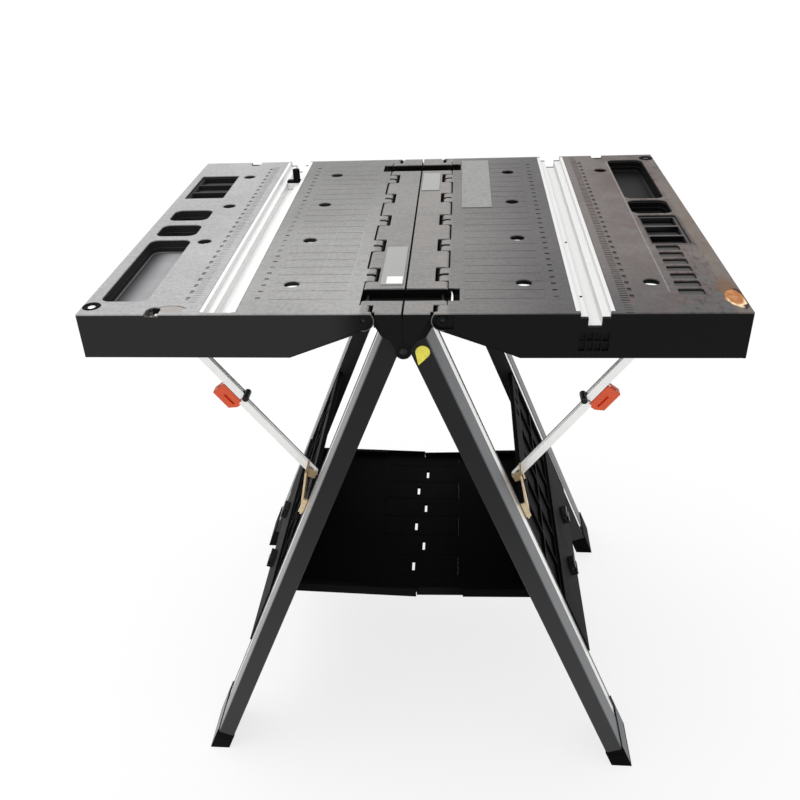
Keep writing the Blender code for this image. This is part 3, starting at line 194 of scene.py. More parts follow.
class TableColours(PropertyGroup):
    deck: colour("Deck", "Moulded wings, where they are clean", (0.024, 0.024, 0.025))
    # Painted shade: a darker copy of the deck colour for the sides of the beam and the right wing, away from the light.
    deck_right: colour("Deck, right", "Sides of the right wing, away from the light", (0.004, 0.004, 0.004))
    # The worn top colours are dust and wear lightened as painted sheen: lighter on the left, where the light falls, and
    # darker towards the right rail.
    worn: colour("Worn deck", "Rubbed and dusty top of the left wing, inside its rail", (0.400, 0.396, 0.388))
    worn_rear_and_sheen: colour("Worn deck, rear", "Rubbed top of the left wing towards the rear", (0.240, 0.238, 0.232))
    worn_edge_and_sheen: colour("Worn deck, outer left", "Rubbed and dusty top of the left wing, outside its rail",
                      (0.480, 0.478, 0.478))
    worn_beam_and_sheen: colour("Worn beam", "Rubbed top of the centre beam", (0.280, 0.276, 0.268))
    worn_right_and_sheen: colour("Worn deck, right", "Rubbed top of the right wing, by its hinge", (0.220, 0.213, 0.208))
    worn_rail_and_sheen: colour("Worn deck, by the right rail", "Rubbed top of the right wing, by its rail",
                      (0.114, 0.109, 0.110))
    worn_outer_and_sheen: colour("Worn deck, outer right", "Outer strip of the right wing, under its film", (0.190, 0.168, 0.160))
    residue: colour("Residue", "Brown film on the outer strip of the right wing", (0.096, 0.078, 0.074))
    burn: colour("Burn", "Bare patch at the front right corner", (0.40, 0.140, 0.040))
    black: colour("Black plastic", "Shelf, panels and feet", (0.0065, 0.0065, 0.007))
    leg: colour("Leg", "Dark coat of the leg tubes", (0.011, 0.011, 0.012))
    leg_low: colour("Leg, low", "Dark coat near the feet, where the floor lights it", (0.042, 0.042, 0.044))
    # Lit and shaded copies of the leg satin: the left one is painted lighter as painted light, the right one darker as
    # painted shade.
    satin_painted_lit: colour("Leg face", "Satin strip on the outer face of a left leg", (0.31, 0.305, 0.30))
    satin_painted_shade: colour("Leg face, right", "Satin strip on the outer face of a right leg", (0.165, 0.172, 0.180))
    leg_pale: colour("Leg strip", "Bright strip on the outer face of a leg", (0.90, 0.90, 0.89))
    rail: colour("Rail", "Extruded aluminium", (0.86, 0.86, 0.855))
    rail_right: colour("Rail, right", "Extruded aluminium, away from the light", (0.69, 0.69, 0.685))
    steel: colour("Steel", "Bright plated links", (0.93, 0.93, 0.92))
    zinc: colour("Zinc", "Yellow plated brackets", (0.80, 0.60, 0.36))
    dark_steel: colour("Dark steel", "Pins, rivets and clips", (0.012, 0.012, 0.013))
    orange: colour("Orange", "Release levers", (0.95, 0.105, 0.020))
    plate: colour("Plate", "Bare plates on the beam", (0.335, 0.335, 0.330))
    plate_wing: colour("Plate, wing", "Bare plate on the right wing", (0.255, 0.254, 0.250))
    tag: colour("Tag", "Blank tag on the leg", (0.95, 0.87, 0.10))
    floor: colour("Floor", "Floor", (0.90, 0.90, 0.895))


class StageSettings(PropertyGroup):
    camera_place: FloatVectorProperty(name="Camera", description="Where the camera stands", size=3,
                                      subtype="TRANSLATION", unit="LENGTH",
                                      default=(0.06667538, -1.23229183, 1.24442614))
    yaw: angle("Yaw", "Camera's turn to the right", -6.56215104)
    pitch: angle("Pitch", "Camera's tilt down", 31.59709079)
    roll: angle("Roll", "Camera's roll", 3.00666538)
    lens: FloatProperty(name="Lens", description="Focal length on a 36 mm sensor", default=39.1385)
    shift_x: FloatProperty(name="Shift across", description="Lens shift across the picture", default=0.032095)
    shift_y: FloatProperty(name="Shift up", description="Lens shift up the picture", default=0.0165)
    sun: FloatProperty(name="Key light", description="Strength of the broad key light from behind on the left",
                       default=1.9)
    sun_spread: angle("Key spread", "Width of the key light, which softens its shadows", 60.0)
    sky: FloatProperty(name="Sky", description="Strength of the even light all round", default=0.62)
    floor_glow: FloatProperty(name="Floor white", description="Share of plain white in the floor that the camera sees",
                              default=0.78, min=0.0, max=1.0)


class Wire:
    """A value in a node tree. Arithmetic on it adds Math nodes."""

    def __init__(self, nodes, socket):
        self.nodes, self.socket = nodes, socket

    def maths(self, operation, *values):
        return self.nodes.add("ShaderNodeMath", {"operation": operation}, dict(enumerate(values)))

    def __add__(self, other):
        return self.maths("ADD", self, other)

    def __sub__(self, other):
        return self.maths("SUBTRACT", self, other)

    def __rsub__(self, other):
        return self.maths("SUBTRACT", other, self)

    def __mul__(self, other):
        return self.maths("MULTIPLY", self, other)

    def __truediv__(self, other):
        return self.maths("DIVIDE", self, other)

    def __abs__(self):
        return self.maths("ABSOLUTE", self)

    def __mod__(self, other):
        return self.maths("FLOORED_MODULO", self, other)

    def __pow__(self, other):
        return self.maths("POWER", self, other)

    __radd__ = __add__
    __rmul__ = __mul__


class Nodes:
    """A node tree, with one way to add any node to it."""

    def __init__(self, tree):
        self.tree = tree

    def put(self, socket, value):
        if isinstance(value, Wire):
            self.tree.links.new(value.socket, socket)
        elif socket.type == "RGBA":
            socket.default_value = (*value, 1.0)
        else:
            socket.default_value = value

    def add(self, kind, settings=None, inputs=None, out=0):
        """Any node: its type, its settings, the values or links of its sockets, and the output wanted."""
        node = self.tree.nodes.new(kind)
        for key, value in (settings or {}).items():
            setattr(node, key, value)
        for key, value in (inputs or {}).items():
            self.put(node.inputs[key], value)
        return Wire(self, node.outputs[out]) if node.outputs else None

    def seen(self):
        """1 for what the camera, metal and glass see, 0 for the light that falls on things."""
        camera, glossy, through = (self.add("ShaderNodeLightPath", out=f"Is {ray} Ray")
                                   for ray in ("Camera", "Glossy", "Transmission"))
        return camera.maths("MAXIMUM", camera, glossy.maths("MAXIMUM", glossy, through))


class Finish(Nodes):
    """A material built from nodes on the object's own coordinates."""

    def __init__(self, name):
        self.material = bpy.data.materials.new(name)
        self.material.use_nodes = True
        super().__init__(self.material.node_tree)
        self.shader = self.tree.nodes["Principled BSDF"]
        self.place = self.add("ShaderNodeTexCoord", out="Object")
        split = self.add("ShaderNodeSeparateXYZ", inputs={0: self.place}).socket.node
        self.x, self.y, self.z = (Wire(self, socket) for socket in split.outputs)

    def rise(self, value, low, high):
        """0 below low, 1 above high, smooth between."""
        return self.add("ShaderNodeMapRange", {"interpolation_type": "SMOOTHSTEP"}, {0: value, 1: low, 2: high})

    def band(self, value, low, high, soft=0.0003):
        """1 between low and high."""
        return self.rise(value, low - soft, low + soft) * (1 - self.rise(value, high - soft, high + soft))

    def level(self, height, half, soft):
        """1 on a floor at a height."""
        return self.band(self.z, height - half, height + half, soft)

    def oval(self, centre, half):
        """0 at a centre in x and y, 1 round an oval, growing outwards."""
        return ((self.x - centre[0]) / half[0]) ** 2 + ((self.y - centre[1]) / half[1]) ** 2

    def outward(self):
        """Distance square to the leaning legs, outwards from the line through the pivot."""
        return abs(self.x) * math.cos(LEAN) + (self.z - PIVOT_Z) * math.sin(LEAN)

    def noise(self, scale, detail=3.0, rough=0.55, stretch=(1, 1, 1)):
        spread = self.add("ShaderNodeMapping", inputs={"Vector": self.place, "Scale": stretch})
        return self.add("ShaderNodeTexNoise",
                        inputs={"Vector": spread, "Scale": scale, "Detail": detail, "Roughness": rough})

    def blend(self, first, second, factor):
        """One colour into another."""
        return self.add("ShaderNodeMix", {"data_type": "RGBA"}, {0: factor, 6: first, 7: second}, out=2)

    def bump(self, height, distance, strength):
        return self.add("ShaderNodeBump", inputs={"Height": height, "Distance": distance, "Strength": strength})

    def done(self, **sockets):
        names = {"base": "Base Color", "rough": "Roughness", "metal": "Metallic", "normal": "Normal",
                 "gloss": "Specular IOR Level"}
        for key, value in sockets.items():
            self.put(self.shader.inputs[names[key]], value)
        return self.material


def deck_wear_and_sheen(f, colours, rub):
    """Dark moulding with a rubbed, dusty top, lightened as painted sheen, strip by strip from left to right and lighter
    on the left where the light falls; the sides of the beam and the right wing carry painted shade.
    """
    # The sides of the beam and the right wing take the darker copy of the deck colour as painted shade.
    clean = f.blend(colours.deck, colours.deck_right, f.rise(f.x, -0.085, -0.045))
    # Top colours: dust and wear lightened as painted sheen, lighter on the left and darker towards the right rail.
    left = f.blend(colours.worn, colours.worn_rear_and_sheen, f.rise(f.y, -0.30, 0.30))
    worn = f.blend(colours.worn_edge_and_sheen, left, f.rise(f.x, -0.240, -0.236))
    worn = f.blend(worn, colours.worn_beam_and_sheen, f.rise(f.x, -0.052, -0.048))
    right = f.blend(colours.worn_right_and_sheen, colours.worn_rail_and_sheen, f.rise(f.x, 0.050, 0.190))
    worn = f.blend(worn, right, f.rise(f.x, 0.048, 0.056))
    outer = f.blend(colours.worn_rail_and_sheen, colours.worn_outer_and_sheen, f.rise(f.y, -0.32, -0.10))
    worn = f.blend(worn, outer, f.rise(f.x, 0.236, 0.244))
    dust = f.rise(f.cloud * 0.6 + rub * 0.4, 0.28, 0.72)
    # Every top face is lightened as painted sheen, and the dust varies it.
    return f.blend(clean, worn, f.top * (dust * 0.22 + (f.fleck - 0.5) * 0.9 + 0.74))


def deck_floors(f, base):
    """Ribs, and the floors of the trays, pockets and slits, kept off the skirts; the left tray floor has painted sheen,
    darker by its outer wall, and a painted highlight on its fillet, and the left pocket floors are painted lighter as
    painted light.
    """
    ribs = f.band(f.x, 0.318, 0.3745, 0.001) * f.band(f.y, -0.112, 0.003, 0.001) * f.top
    base = f.blend(base, (0.050, 0.047, 0.046), ribs * (f.patch * 0.6 + 0.5))
    inside = ((1 - f.rise(abs(f.x), HALF_WIDTH - 0.0040, HALF_WIDTH - 0.0030))
              * (1 - f.rise(abs(f.y), HALF_DEPTH - 0.0080, HALF_DEPTH - 0.0070)))
    left = f.rise(-1 * f.x, TRAY_X, TRAY_X + 0.005) * inside
    right = f.rise(f.x, TRAY_X, TRAY_X + 0.005) * inside
    # Painted sheen on the floor of the left tray, darker by its outer wall.
    lit = f.blend((0.085, 0.086, 0.092), (0.430, 0.430, 0.440), f.rise(f.x, -0.374, -0.340))
    base = f.blend(base, lit, f.level(TRAY_FLOOR, 0.0003, 0.0003) * left * (f.patch * 0.3 + 0.7))
    # Painted highlight along the fillet of the left tray.
    base = f.blend(base, (0.300, 0.302, 0.310), f.level(TRAY_FLOOR + 0.0013, 0.0007, 0.0003) * left * 0.6)
    # The pocket floors on the left are painted lighter as painted light; those on the right take a dark grey.
    pocket = f.level(POCKET_FLOOR, 0.0004, 0.0002)
    base = f.blend(base, (0.090, 0.090, 0.092), pocket * left * (f.patch * 0.9 + 0.3))
    base = f.blend(base, (0.050, 0.049, 0.049), pocket * right * (f.patch * 0.8 + 0.4))
    return f.blend(base, (0.088, 0.085, 0.083), f.level(SLIT_FLOOR, 0.0004, 0.0002) * right)


def deck_marks(f, base):
    """The painted highlight round each hinge nose, a blush on the beam, inked ticks and the outline of a lost sheet."""
    across = abs(f.x)
    swing = ((across - HINGE_X) ** 2 + (f.z - HINGE_Z) ** 2) ** 0.5
    # Painted highlight on the rim round each hinge nose.
    nose_highlight = (f.band(swing, 0.0119, 0.0131) * f.rise(abs(f.y), HALF_DEPTH - 0.0014, HALF_DEPTH - 0.0009)
            * (1 - f.rise(across, HINGE_X, HINGE_X + 0.004)))
    base = f.blend(base, (0.150, 0.150, 0.148), nose_highlight * (1 - f.top))
    blush = f.rise(f.patch, 0.42, 0.62) * f.band(f.x, 0.004, 0.050, 0.004) * f.top
    base = f.blend(base, (0.300, 0.262, 0.245), blush * 0.5)
    pitch = bpy.context.scene.table_sizes.tick_pitch
    gap = f.band(f.y % pitch, TICK_WIDTH / 2, pitch - TICK_WIDTH / 2, 0.0002)
    ticks = f.band(across, *TICKS) * (1 - gap) * f.top
    base = f.blend(base, (0.012, 0.012, 0.012), ticks * f.rise(f.x, 0.0, 0.1) * 0.95)
    sheet = f.band(f.x, *SHEET_X) * f.band(f.y, *SHEET_Y)
    inner = (f.band(f.x, SHEET_X[0] + SHEET_LINE, SHEET_X[1] - SHEET_LINE)
             * f.band(f.y, SHEET_Y[0] + SHEET_LINE, SHEET_Y[1] - SHEET_LINE))
    return f.blend(base, (0.42, 0.42, 0.415), (sheet - inner) * f.top * (f.fleck * 0.9))


def deck_stains(f, base, colours, film):
    """Film, blotches and smears on the right, a painted highlight along the ledge, spilt residue round the front left
    notch, and painted light on the inside faces of the notch.
    """
    base = f.blend(base, colours.residue, film * 0.75)
    blotch = f.rise(f.noise(70, 5, 0.65), 0.48, 0.66) * f.rise(f.x, 0.240, 0.270) * f.top
    base = f.blend(base, (0.155, 0.100, 0.098), blotch * 0.5)
    smear = f.rise(f.noise(60, 4, 0.6, (3, 1, 1)), 0.50, 0.66) * f.rise(f.x, 0.312, 0.330) * f.top
    base = f.blend(base, (0.040, 0.029, 0.024), smear * 0.55)
    # Painted highlight along the edge of the ledge.
    ledge_highlight = f.band(f.x, *LEDGE_X) * f.band(f.y, -0.262, 0.282, 0.004) * f.top
    base = f.blend(base, (0.300, 0.295, 0.290), ledge_highlight * (f.fleck * 1.1))
    strip = f.rise(f.x, 0.3735, 0.3770) * (1 - f.rise(f.y, 0.10, 0.25)) * f.top
    base = f.blend(base, (0.178, 0.146, 0.120), strip * (f.cloud * 0.6 + 0.3))
    spot = f.oval(NOTCH_SPOT, (0.0170, 0.0100)) + (f.patch - 0.5) * 1.2
    edge = f.band(spot, 0.85, 1.15, 0.15) * f.rise(f.y, -0.306, -0.300) * f.top
    base = f.blend(base, (0.040, 0.036, 0.034), edge)
    base = f.blend(base, (0.360, 0.290, 0.255), (1 - f.rise(spot, 0.6, 1.0)) * f.top * (f.fleck * 0.9))
    # The inside faces of the notch are painted pale as painted light, in patches.
    notch_painted_light = (f.band(f.x, -0.3095, -0.2905) * f.band(f.y, -0.3185, -0.3000)
             * f.rise(f.z, TOP - 0.0130, TOP - 0.0110))
    notch_light_patches = f.rise(f.patch * 0.5 + f.fleck * 0.5, 0.42, 0.56)
    return f.blend(base, (0.420, 0.345, 0.315), notch_painted_light * (1 - f.top) * notch_light_patches)


def deck_burn(f, base, colours):
    """The scorched patch at the front right corner, with a painted highlight in a pale ring on its front part, and how
    deep it lies.
    """
    spread = f.noise(90, 4)
    halo = f.oval(HALO, (0.0150, 0.044)) + (spread - 0.5) * 2.0
    base = f.blend(base, (0.150, 0.078, 0.040), (1 - f.rise(halo, 0.0, 1.1)) * f.top * 0.85)
    reach = f.oval(BURN, (0.0112, 0.0260)) + (f.noise(160, 3) - 0.5) * 1.0
    bare = (1 - f.rise(reach, 0.75, 1.0)) * f.top
    rim = f.band(reach, 0.85, 1.40, 0.12) * f.rise(f.x, 0.3830, 0.3860) * f.top
    base = f.blend(base, (0.012, 0.007, 0.005), rim * 0.95)
    patch = f.blend(colours.burn, (0.50, 0.25, 0.10), f.rise(spread, 0.46, 0.66))
    # Painted highlight: a pale ring on the front part of the bare patch.
    burn_highlight = f.band(reach, 0.50, 0.85, 0.10) * (1 - f.rise(f.y, -0.292, -0.276))
    base = f.blend(base, f.blend(patch, (0.86, 0.66, 0.42), burn_highlight), bare)
    core = f.rise(f.noise(210, 4, 0.7), 0.57, 0.68) * (1 - f.rise(reach, 0.3, 0.6)) * bare
    return f.blend(base, (0.060, 0.020, 0.008), core * 0.5), bare * 4.0 + rim * 2.0


def deck_finish(colours):
    """Moulded wings and centre beam: dark grain, rubbed and dusty on top with painted sheen, stained on the right, with
    painted light and shade on the sides, in the trays and on edges.
    """
    f = Finish("rubbed deck plastic")
    f.top = f.rise(f.z, TOP - 0.0021, TOP - 0.0009)
    f.cloud, f.patch = f.noise(7, 4), f.noise(31, 4)
    f.fleck = f.noise(190, 5, 0.75)
    grain, rub = f.noise(900, 2), f.noise(34, 5, 0.6, (1, 9, 1))
    film = f.rise(f.x, 0.245, 0.305) * f.rise(f.patch * 0.45 + f.cloud * 0.55, 0.36, 0.60) * f.top
    base = deck_marks(f, deck_floors(f, deck_wear_and_sheen(f, colours, rub)))
    base, sunk = deck_burn(f, deck_stains(f, base, colours, film), colours)
    rough = 0.46 - f.top * rub * 0.12 + grain * 0.10 + film * 0.08
    normal = f.bump(grain * 0.7 + rub * 0.3 - sunk, 0.00012, 0.6)
    return f.done(base=base, rough=rough, normal=normal, gloss=0.10)


def leg_satin_painted_light(f, colours):
    """The satin of the outer faces of the legs, painted lighter on the side of the light and darker on the other as
    painted shade.
    """
    return f.blend(colours.satin_painted_lit, colours.satin_painted_shade, f.rise(f.x, -0.01, 0.01))


def black_finish(colours):
    """Matt black moulding, darker on the right as painted shade, with satin guards on the front feet, painted lighter
    on the left, and a bright key on the stop.
    """
    f = Finish("matt black moulding")
    cloud, grain = f.noise(11, 4), f.noise(1100, 2)
    scuff = f.rise(f.noise(48, 5, 0.65, (1, 6, 1)), 0.58, 0.80)
    base = f.blend(colours.black, (0.018, 0.018, 0.019), scuff * 0.30 + cloud * 0.08)
    # Darker on the right as painted shade.
    base = f.blend(base, (0.0022, 0.0021, 0.0021), f.rise(f.x, 0.02, 0.08) * 0.8)
    guard = (f.rise(f.outward(), LEG_OUT + 0.0012, LEG_OUT + 0.0018) * f.band(f.z, 0.007, 0.070, 0.001)
             * f.band(f.y, -LEG_FRONT_Y, -LEG_BACK_Y - 0.0030))
    # The guards take the leg satin, painted lighter on the left and darker on the right.
    base = f.blend(base, leg_satin_painted_light(f, colours), guard)
    key = f.band(f.x, -0.235, -0.205) * f.band(f.z, TOP - 0.030, TOP - RAIL_STEP, 0.0002)
    base = f.blend(base, colours.rail, key)
    rough = 0.50 + cloud * 0.16 - scuff * 0.08
    return f.done(base=base, rough=rough, metal=(guard + key) * 0.8, normal=f.bump(grain, 0.0001, 0.5), gloss=0.02)


def leg_finish(colours):
    """Leg tube: dark coat, painted lighter towards the feet as painted light from the floor, with a satin strip,
    painted lighter on the side of the light, and a bright strip on the outer face.
    """
    f = Finish("coated leg tube")
    outer = f.rise(f.outward(), LEG_OUT - 0.0030, LEG_OUT - 0.0016)
    reach = abs(f.y)
    satin = (outer * f.rise(reach, LEG_STRIP_Y - 0.0004, LEG_STRIP_Y + 0.0004)
             * (1 - f.rise(reach, LEG_FRONT_Y - 0.0004, LEG_FRONT_Y + 0.0010)))
    bright = outer * f.band(reach, LEG_BACK_Y + 0.0016, LEG_STRIP_Y - 0.0004, 0.0002)
    drawn = f.noise(260, 3, 0.5, (1, 1, 0.02))
    cloud = f.noise(14, 4)
    # The coat is painted lighter towards the feet as painted light from the floor.
    coat = f.blend(colours.leg_low, colours.leg, f.rise(f.z, 0.10, 0.66))
    base = f.blend(f.blend(coat, (0.040, 0.040, 0.042), cloud * 0.25), leg_satin_painted_light(f, colours), satin)
    pale = f.blend(base, f.blend(colours.leg_pale, (0.84, 0.84, 0.83), drawn * 0.5), bright)
    rough = 0.44 - bright * 0.12 + drawn * 0.12
    normal = f.bump(drawn * 0.5 + f.noise(700, 2) * 0.5, 0.00008, 0.5)
    return f.done(base=pale, rough=rough, metal=satin * 0.7 + bright, normal=normal, gloss=0.15)


def drawn_finish(name, base_colour, rough, stretch, shade=0.82):
    """Metal with fine lines along its length."""
    f = Finish(name)
    lines = f.noise(520, 4, 0.6, stretch)
    cloud = f.noise(20, 3)
    dull = tuple(part * shade for part in base_colour)
    base = f.blend(base_colour, dull, lines * 0.6 + cloud * 0.3)
    return f, base, rough + lines * 0.14 + cloud * 0.06, f.bump(lines, 0.00006, 0.6)


def rail_finish(colours):
    """Extruded aluminium, darker on the right as painted shade."""
    f, base, rough, normal = drawn_finish("extruded aluminium", colours.rail, 0.40, (1, 0.01, 1), 0.92)
    # Painted shade: the right rail takes a darker copy of the aluminium.
    base = f.blend(base, colours.rail_right, f.rise(f.x, -0.1, 0.1) * 0.8)
    return f.done(base=base, rough=rough, normal=normal, metal=0.35)


def steel_finish(colours):
    """Bright plated links, with a dark line along the upper edge."""
    f, base, rough, normal = drawn_finish("bright plated steel", colours.steel, 0.24, (0.2, 1, 0.2))
    span = BRACE_HEAD - BRACE_FOOT
    reach = math.hypot(span.x, span.z)
    rise = (abs(f.x) - BRACE_FOOT.x) * (-span.z / reach) + (f.z - BRACE_FOOT.z) * (span.x / reach)
    back = (f.band(f.y, BRACE_FOOT.y - 0.0027, BRACE_FOOT.y)
            + f.rise(f.y, BRACE_FOOT.y + 0.0068, BRACE_FOOT.y + 0.0074))
    lobe = f.rise(rise, 0.0062, 0.0066) * (1 - f.rise(f.z, 0.752, 0.757))
    edge = lobe.maths("MAXIMUM", lobe, f.rise(rise, 0.0052, 0.0057) * back)
    base = f.blend(base, colours.dark_steel, edge)
    return f.done(base=base, rough=rough, normal=normal, metal=0.9 - edge * 0.6)


def zinc_finish(colours):
    """Yellow zinc with a cloudy bloom."""
    f = Finish("yellow zinc plate")
    bloom, fine = f.noise(90, 4), f.noise(500, 3)
    base = f.blend(colours.zinc, (0.84, 0.72, 0.50), f.rise(bloom, 0.35, 0.75))
    return f.done(base=base, rough=0.34 + fine * 0.16, metal=0.75, normal=f.bump(fine, 0.00006, 0.6))


def dark_steel_finish(colours):
    """Blackened steel, worn bright in specks."""
    f = Finish("blackened steel")
    wear = f.rise(f.noise(240, 4), 0.56, 0.72)
    base = f.blend(colours.dark_steel, (0.20, 0.20, 0.20), wear * 0.4)
    return f.done(base=base, rough=0.36 + wear * 0.1, metal=0.7)


def orange_finish(colours):
    """Orange moulding of the levers."""
    f = Finish("orange moulding")
    cloud, grain = f.noise(60, 4), f.noise(1300, 2)
    base = f.blend(colours.orange, (0.74, 0.085, 0.016), cloud * 0.6)
    return f.done(base=base, rough=0.36 + cloud * 0.14, normal=f.bump(grain, 0.00008, 0.5))


def plate_finish(colours):
    """Bare film plates; the one on the left half of the beam has a pale patch."""
    f = Finish("bare plate film")
    cloud, grain = f.noise(40, 4), f.noise(1500, 2)
    wing = f.rise(f.x, 0.04, 0.05)
    fleck = f.rise(f.noise(130, 4, 0.7), 0.40, 0.62) * wing
    base = f.blend(colours.plate, colours.plate_wing, wing)
    base = f.blend(base, (0.150, 0.150, 0.148), fleck * 0.50 + cloud * 0.10)
    base = f.blend(base, (0.86, 0.86, 0.85), f.band(f.x, *PLATE_PATCH_X) * f.band(f.y, *PLATE_PATCH_Y))
    return f.done(base=base, rough=0.34 + cloud * 0.15, normal=f.bump(grain, 0.00005, 0.5))


def tag_finish(colours):
    """Yellow film of the blank tag."""
    f = Finish("yellow tag film")
    cloud = f.noise(160, 4)
    base = f.blend(colours.tag, (0.78, 0.66, 0.05), f.rise(cloud, 0.45, 0.8))
    return f.done(base=base, rough=0.34 + cloud * 0.12)


FINISHES = {
    "deck_plastic": deck_finish, "black_plastic": black_finish, "leg_tube": leg_finish, "rail_aluminium": rail_finish,
    "plated_steel": steel_finish, "yellow_zinc": zinc_finish, "dark_steel": dark_steel_finish,
    "orange_plastic": orange_finish, "pale_plate": plate_finish, "yellow_film": tag_finish,
}
MADE = {}


def finish_of(slot):
    """The finish of a material slot, made once."""
    if slot not in MADE:
        MADE[slot] = FINISHES[slot](bpy.context.scene.table_colours)
    return MADE[slot]


def open_copy(node):
    """A bmesh of a CAD node with its loose triangles joined into whole faces."""
    bm = bmesh.new()
    bm.from_mesh(NODES[node].data)
    bmesh.ops.remove_doubles(bm, verts=bm.verts, dist=1e-5)
    bmesh.ops.dissolve_limit(bm, angle_limit=math.radians(0.3), verts=bm.verts, edges=bm.edges)
    return bm


def sharp_edges(bm, test=None, angle=30):
    """Edges between faces that meet at an angle, kept where the test says."""
    limit = math.radians(angle)
    return [e for e in bm.edges if e.is_manifold and e.calc_face_angle(0.0) > limit and (test is None or test(e))]


def soften(bm, edges, width, segments=2):
    """Rounds edges."""
    if edges:
        bmesh.ops.bevel(bm, geom=edges, offset=width, offset_type="OFFSET", segments=segments, profile=0.5,
                        affect="EDGES", clamp_overlap=False, material=-1)


def at(edge, axis, value, tolerance=2e-5):
    """Whether both ends of an edge lie at a value of one axis, on either side."""
    return all(abs(abs(v.co[axis]) - value) < tolerance for v in edge.verts)


def piece(name, bm, body, slot, replaced=()):
    """Makes a piece from a bmesh, gives it the finish of its slot, rides it on a body and hides the nodes it stands
    for.
    """
    mesh = bpy.data.meshes.new(name)
    bm.to_mesh(mesh)
    bm.free()
    mesh.materials.clear()
    mesh.materials.append(finish_of(slot))
    mesh.shade_smooth()
    mesh.set_sharp_from_angle(angle=SHARP_ANGLE)
    obj = bpy.data.objects.new(name, mesh)
    bpy.context.scene.collection.objects.link(obj)
    flat = obj.modifiers.new("even shading", "WEIGHTED_NORMAL")
    flat.mode, flat.weight, flat.keep_sharp = "FACE_AREA", 80, True
    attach(obj, body)
    if replaced:
        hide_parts(*replaced)
    return obj


def stand_in(name, bm, node):
    """A piece that takes a CAD node's place."""
    return piece(name, bm, NODES[node]["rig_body"], SLOT_OF[node], (node,))


def rounded(name, node, width, test=None, angle=30, segments=2):
    """A piece in a CAD node's place, with some of its edges rounded."""
    bm = open_copy(node)
    soften(bm, sharp_edges(bm, test, angle), width, segments)
    return stand_in(name, bm, node)


def paint(*nodes):
    """Gives CAD nodes that stay as they are their procedural finish."""
    for node in nodes:
        mesh = NODES[node].data
        mesh.materials.clear()
        mesh.materials.append(finish_of(SLOT_OF[node]))


def add_block(bm, low, high):
    """A block between two corners."""
    low, high = Vector(low), Vector(high)
    place = Matrix.Translation((low + high) / 2) @ Matrix.Diagonal((*(high - low), 1.0))
    bmesh.ops.create_cube(bm, size=1.0, matrix=place)


def add_lathe(bm, centre, axis, outline, steps=24):
    """An outline of (radius, height) spun round an axis through a centre; it closes on the axis or on itself."""
    axis, centre = Vector(axis), Vector(centre)
    out = axis.orthogonal().normalized()
    verts = [bm.verts.new(centre + out * r + axis * h) for r, h in outline]
    pairs = list(zip(verts, verts[1:]))
    if outline[0][0] > 0:
        pairs.append((verts[-1], verts[0]))
    edges = [bm.edges.new(pair) for pair in pairs]
    bmesh.ops.spin(bm, geom=verts + edges, cent=centre, axis=axis, angle=2 * math.pi, steps=steps, use_merge=True)
    bmesh.ops.remove_doubles(bm, verts=bm.verts, dist=1e-6)
    bmesh.ops.recalc_face_normals(bm, faces=bm.faces)


def add_drum(bm, centre, radius, low, high):
    """An upright drum between two heights."""
    place = Matrix.Translation((*centre, (low + high) / 2))
    bmesh.ops.create_cone(bm, cap_ends=True, segments=32, radius1=radius, radius2=radius,
                          depth=high - low, matrix=place)


def add_prism(bm, outline, low, high):
    """A closed outline in x and z, pushed along y between two places."""
    face = bm.faces.new([bm.verts.new((x, low, z)) for x, z in outline])
    made = bmesh.ops.extrude_face_region(bm, geom=[face])["geom"]
    moved = [v for v in made if isinstance(v, bmesh.types.BMVert)]
    bmesh.ops.translate(bm, verts=moved, vec=(0, high - low, 0))
    bmesh.ops.recalc_face_normals(bm, faces=bm.faces)


def add_screw(bm, centre, radius):
    """A pan-head screw with a cross recess, standing on a level face."""
    head = bmesh.new()
    tall = radius * 0.55
    add_lathe(head, (0, 0, 0), (0, 0, 1), [(0, -0.0002), (radius, -0.0002), (radius, tall * 0.35),
                                           (radius * 0.9, tall * 0.7), (radius * 0.6, tall * 0.95), (0, tall)])
    cross = bmesh.new()
    arm, half = radius * 0.62, radius * 0.13
    outline = [(arm, -half), (arm, half), (half, half), (half, arm), (-half, arm), (-half, half),
               (-arm, half), (-arm, -half), (-half, -half), (-half, -arm), (half, -arm), (half, -half)]
    add_prism(cross, outline, 0, 0.01)
    bmesh.ops.rotate(cross, verts=cross.verts, cent=(0, 0, 0), matrix=Matrix.Rotation(math.pi / 2, 3, "X"))
    bmesh.ops.translate(cross, verts=cross.verts, vec=(0, 0, tall * 0.45))
    bmesh.ops.recalc_face_normals(cross, faces=cross.faces)
    head = carve(head, cross)
    mesh = bpy.data.meshes.new("screw")
    head.to_mesh(mesh)
    head.free()
    mesh.transform(Matrix.Translation(centre))
    bm.from_mesh(mesh)
    bpy.data.meshes.remove(mesh)


def carve(bm, tool, operation="DIFFERENCE"):
    """Cuts a bmesh of blocks and drums out of another, or joins it on; it bears rounded edges that overlap."""
    meshes = []
    for source in (bm, tool):
        mesh = bpy.data.meshes.new("carving")
        source.to_mesh(mesh)
        source.free()
        meshes.append(mesh)
    body, cutter = (bpy.data.objects.new("carving", mesh) for mesh in meshes)
    for obj in (body, cutter):
        bpy.context.scene.collection.objects.link(obj)
    cut = body.modifiers.new("carve", "BOOLEAN")
    cut.operation, cut.solver, cut.object = operation, "EXACT", cutter
    cut.use_self = cut.use_hole_tolerant = True
    graph = bpy.context.evaluated_depsgraph_get()
    carved = bpy.data.meshes.new_from_object(body.evaluated_get(graph))
    bm = bmesh.new()
    bm.from_mesh(carved)
    for obj in (body, cutter):
        bpy.data.objects.remove(obj)
    for mesh in (*meshes, carved):
        bpy.data.meshes.remove(mesh)
    return bm


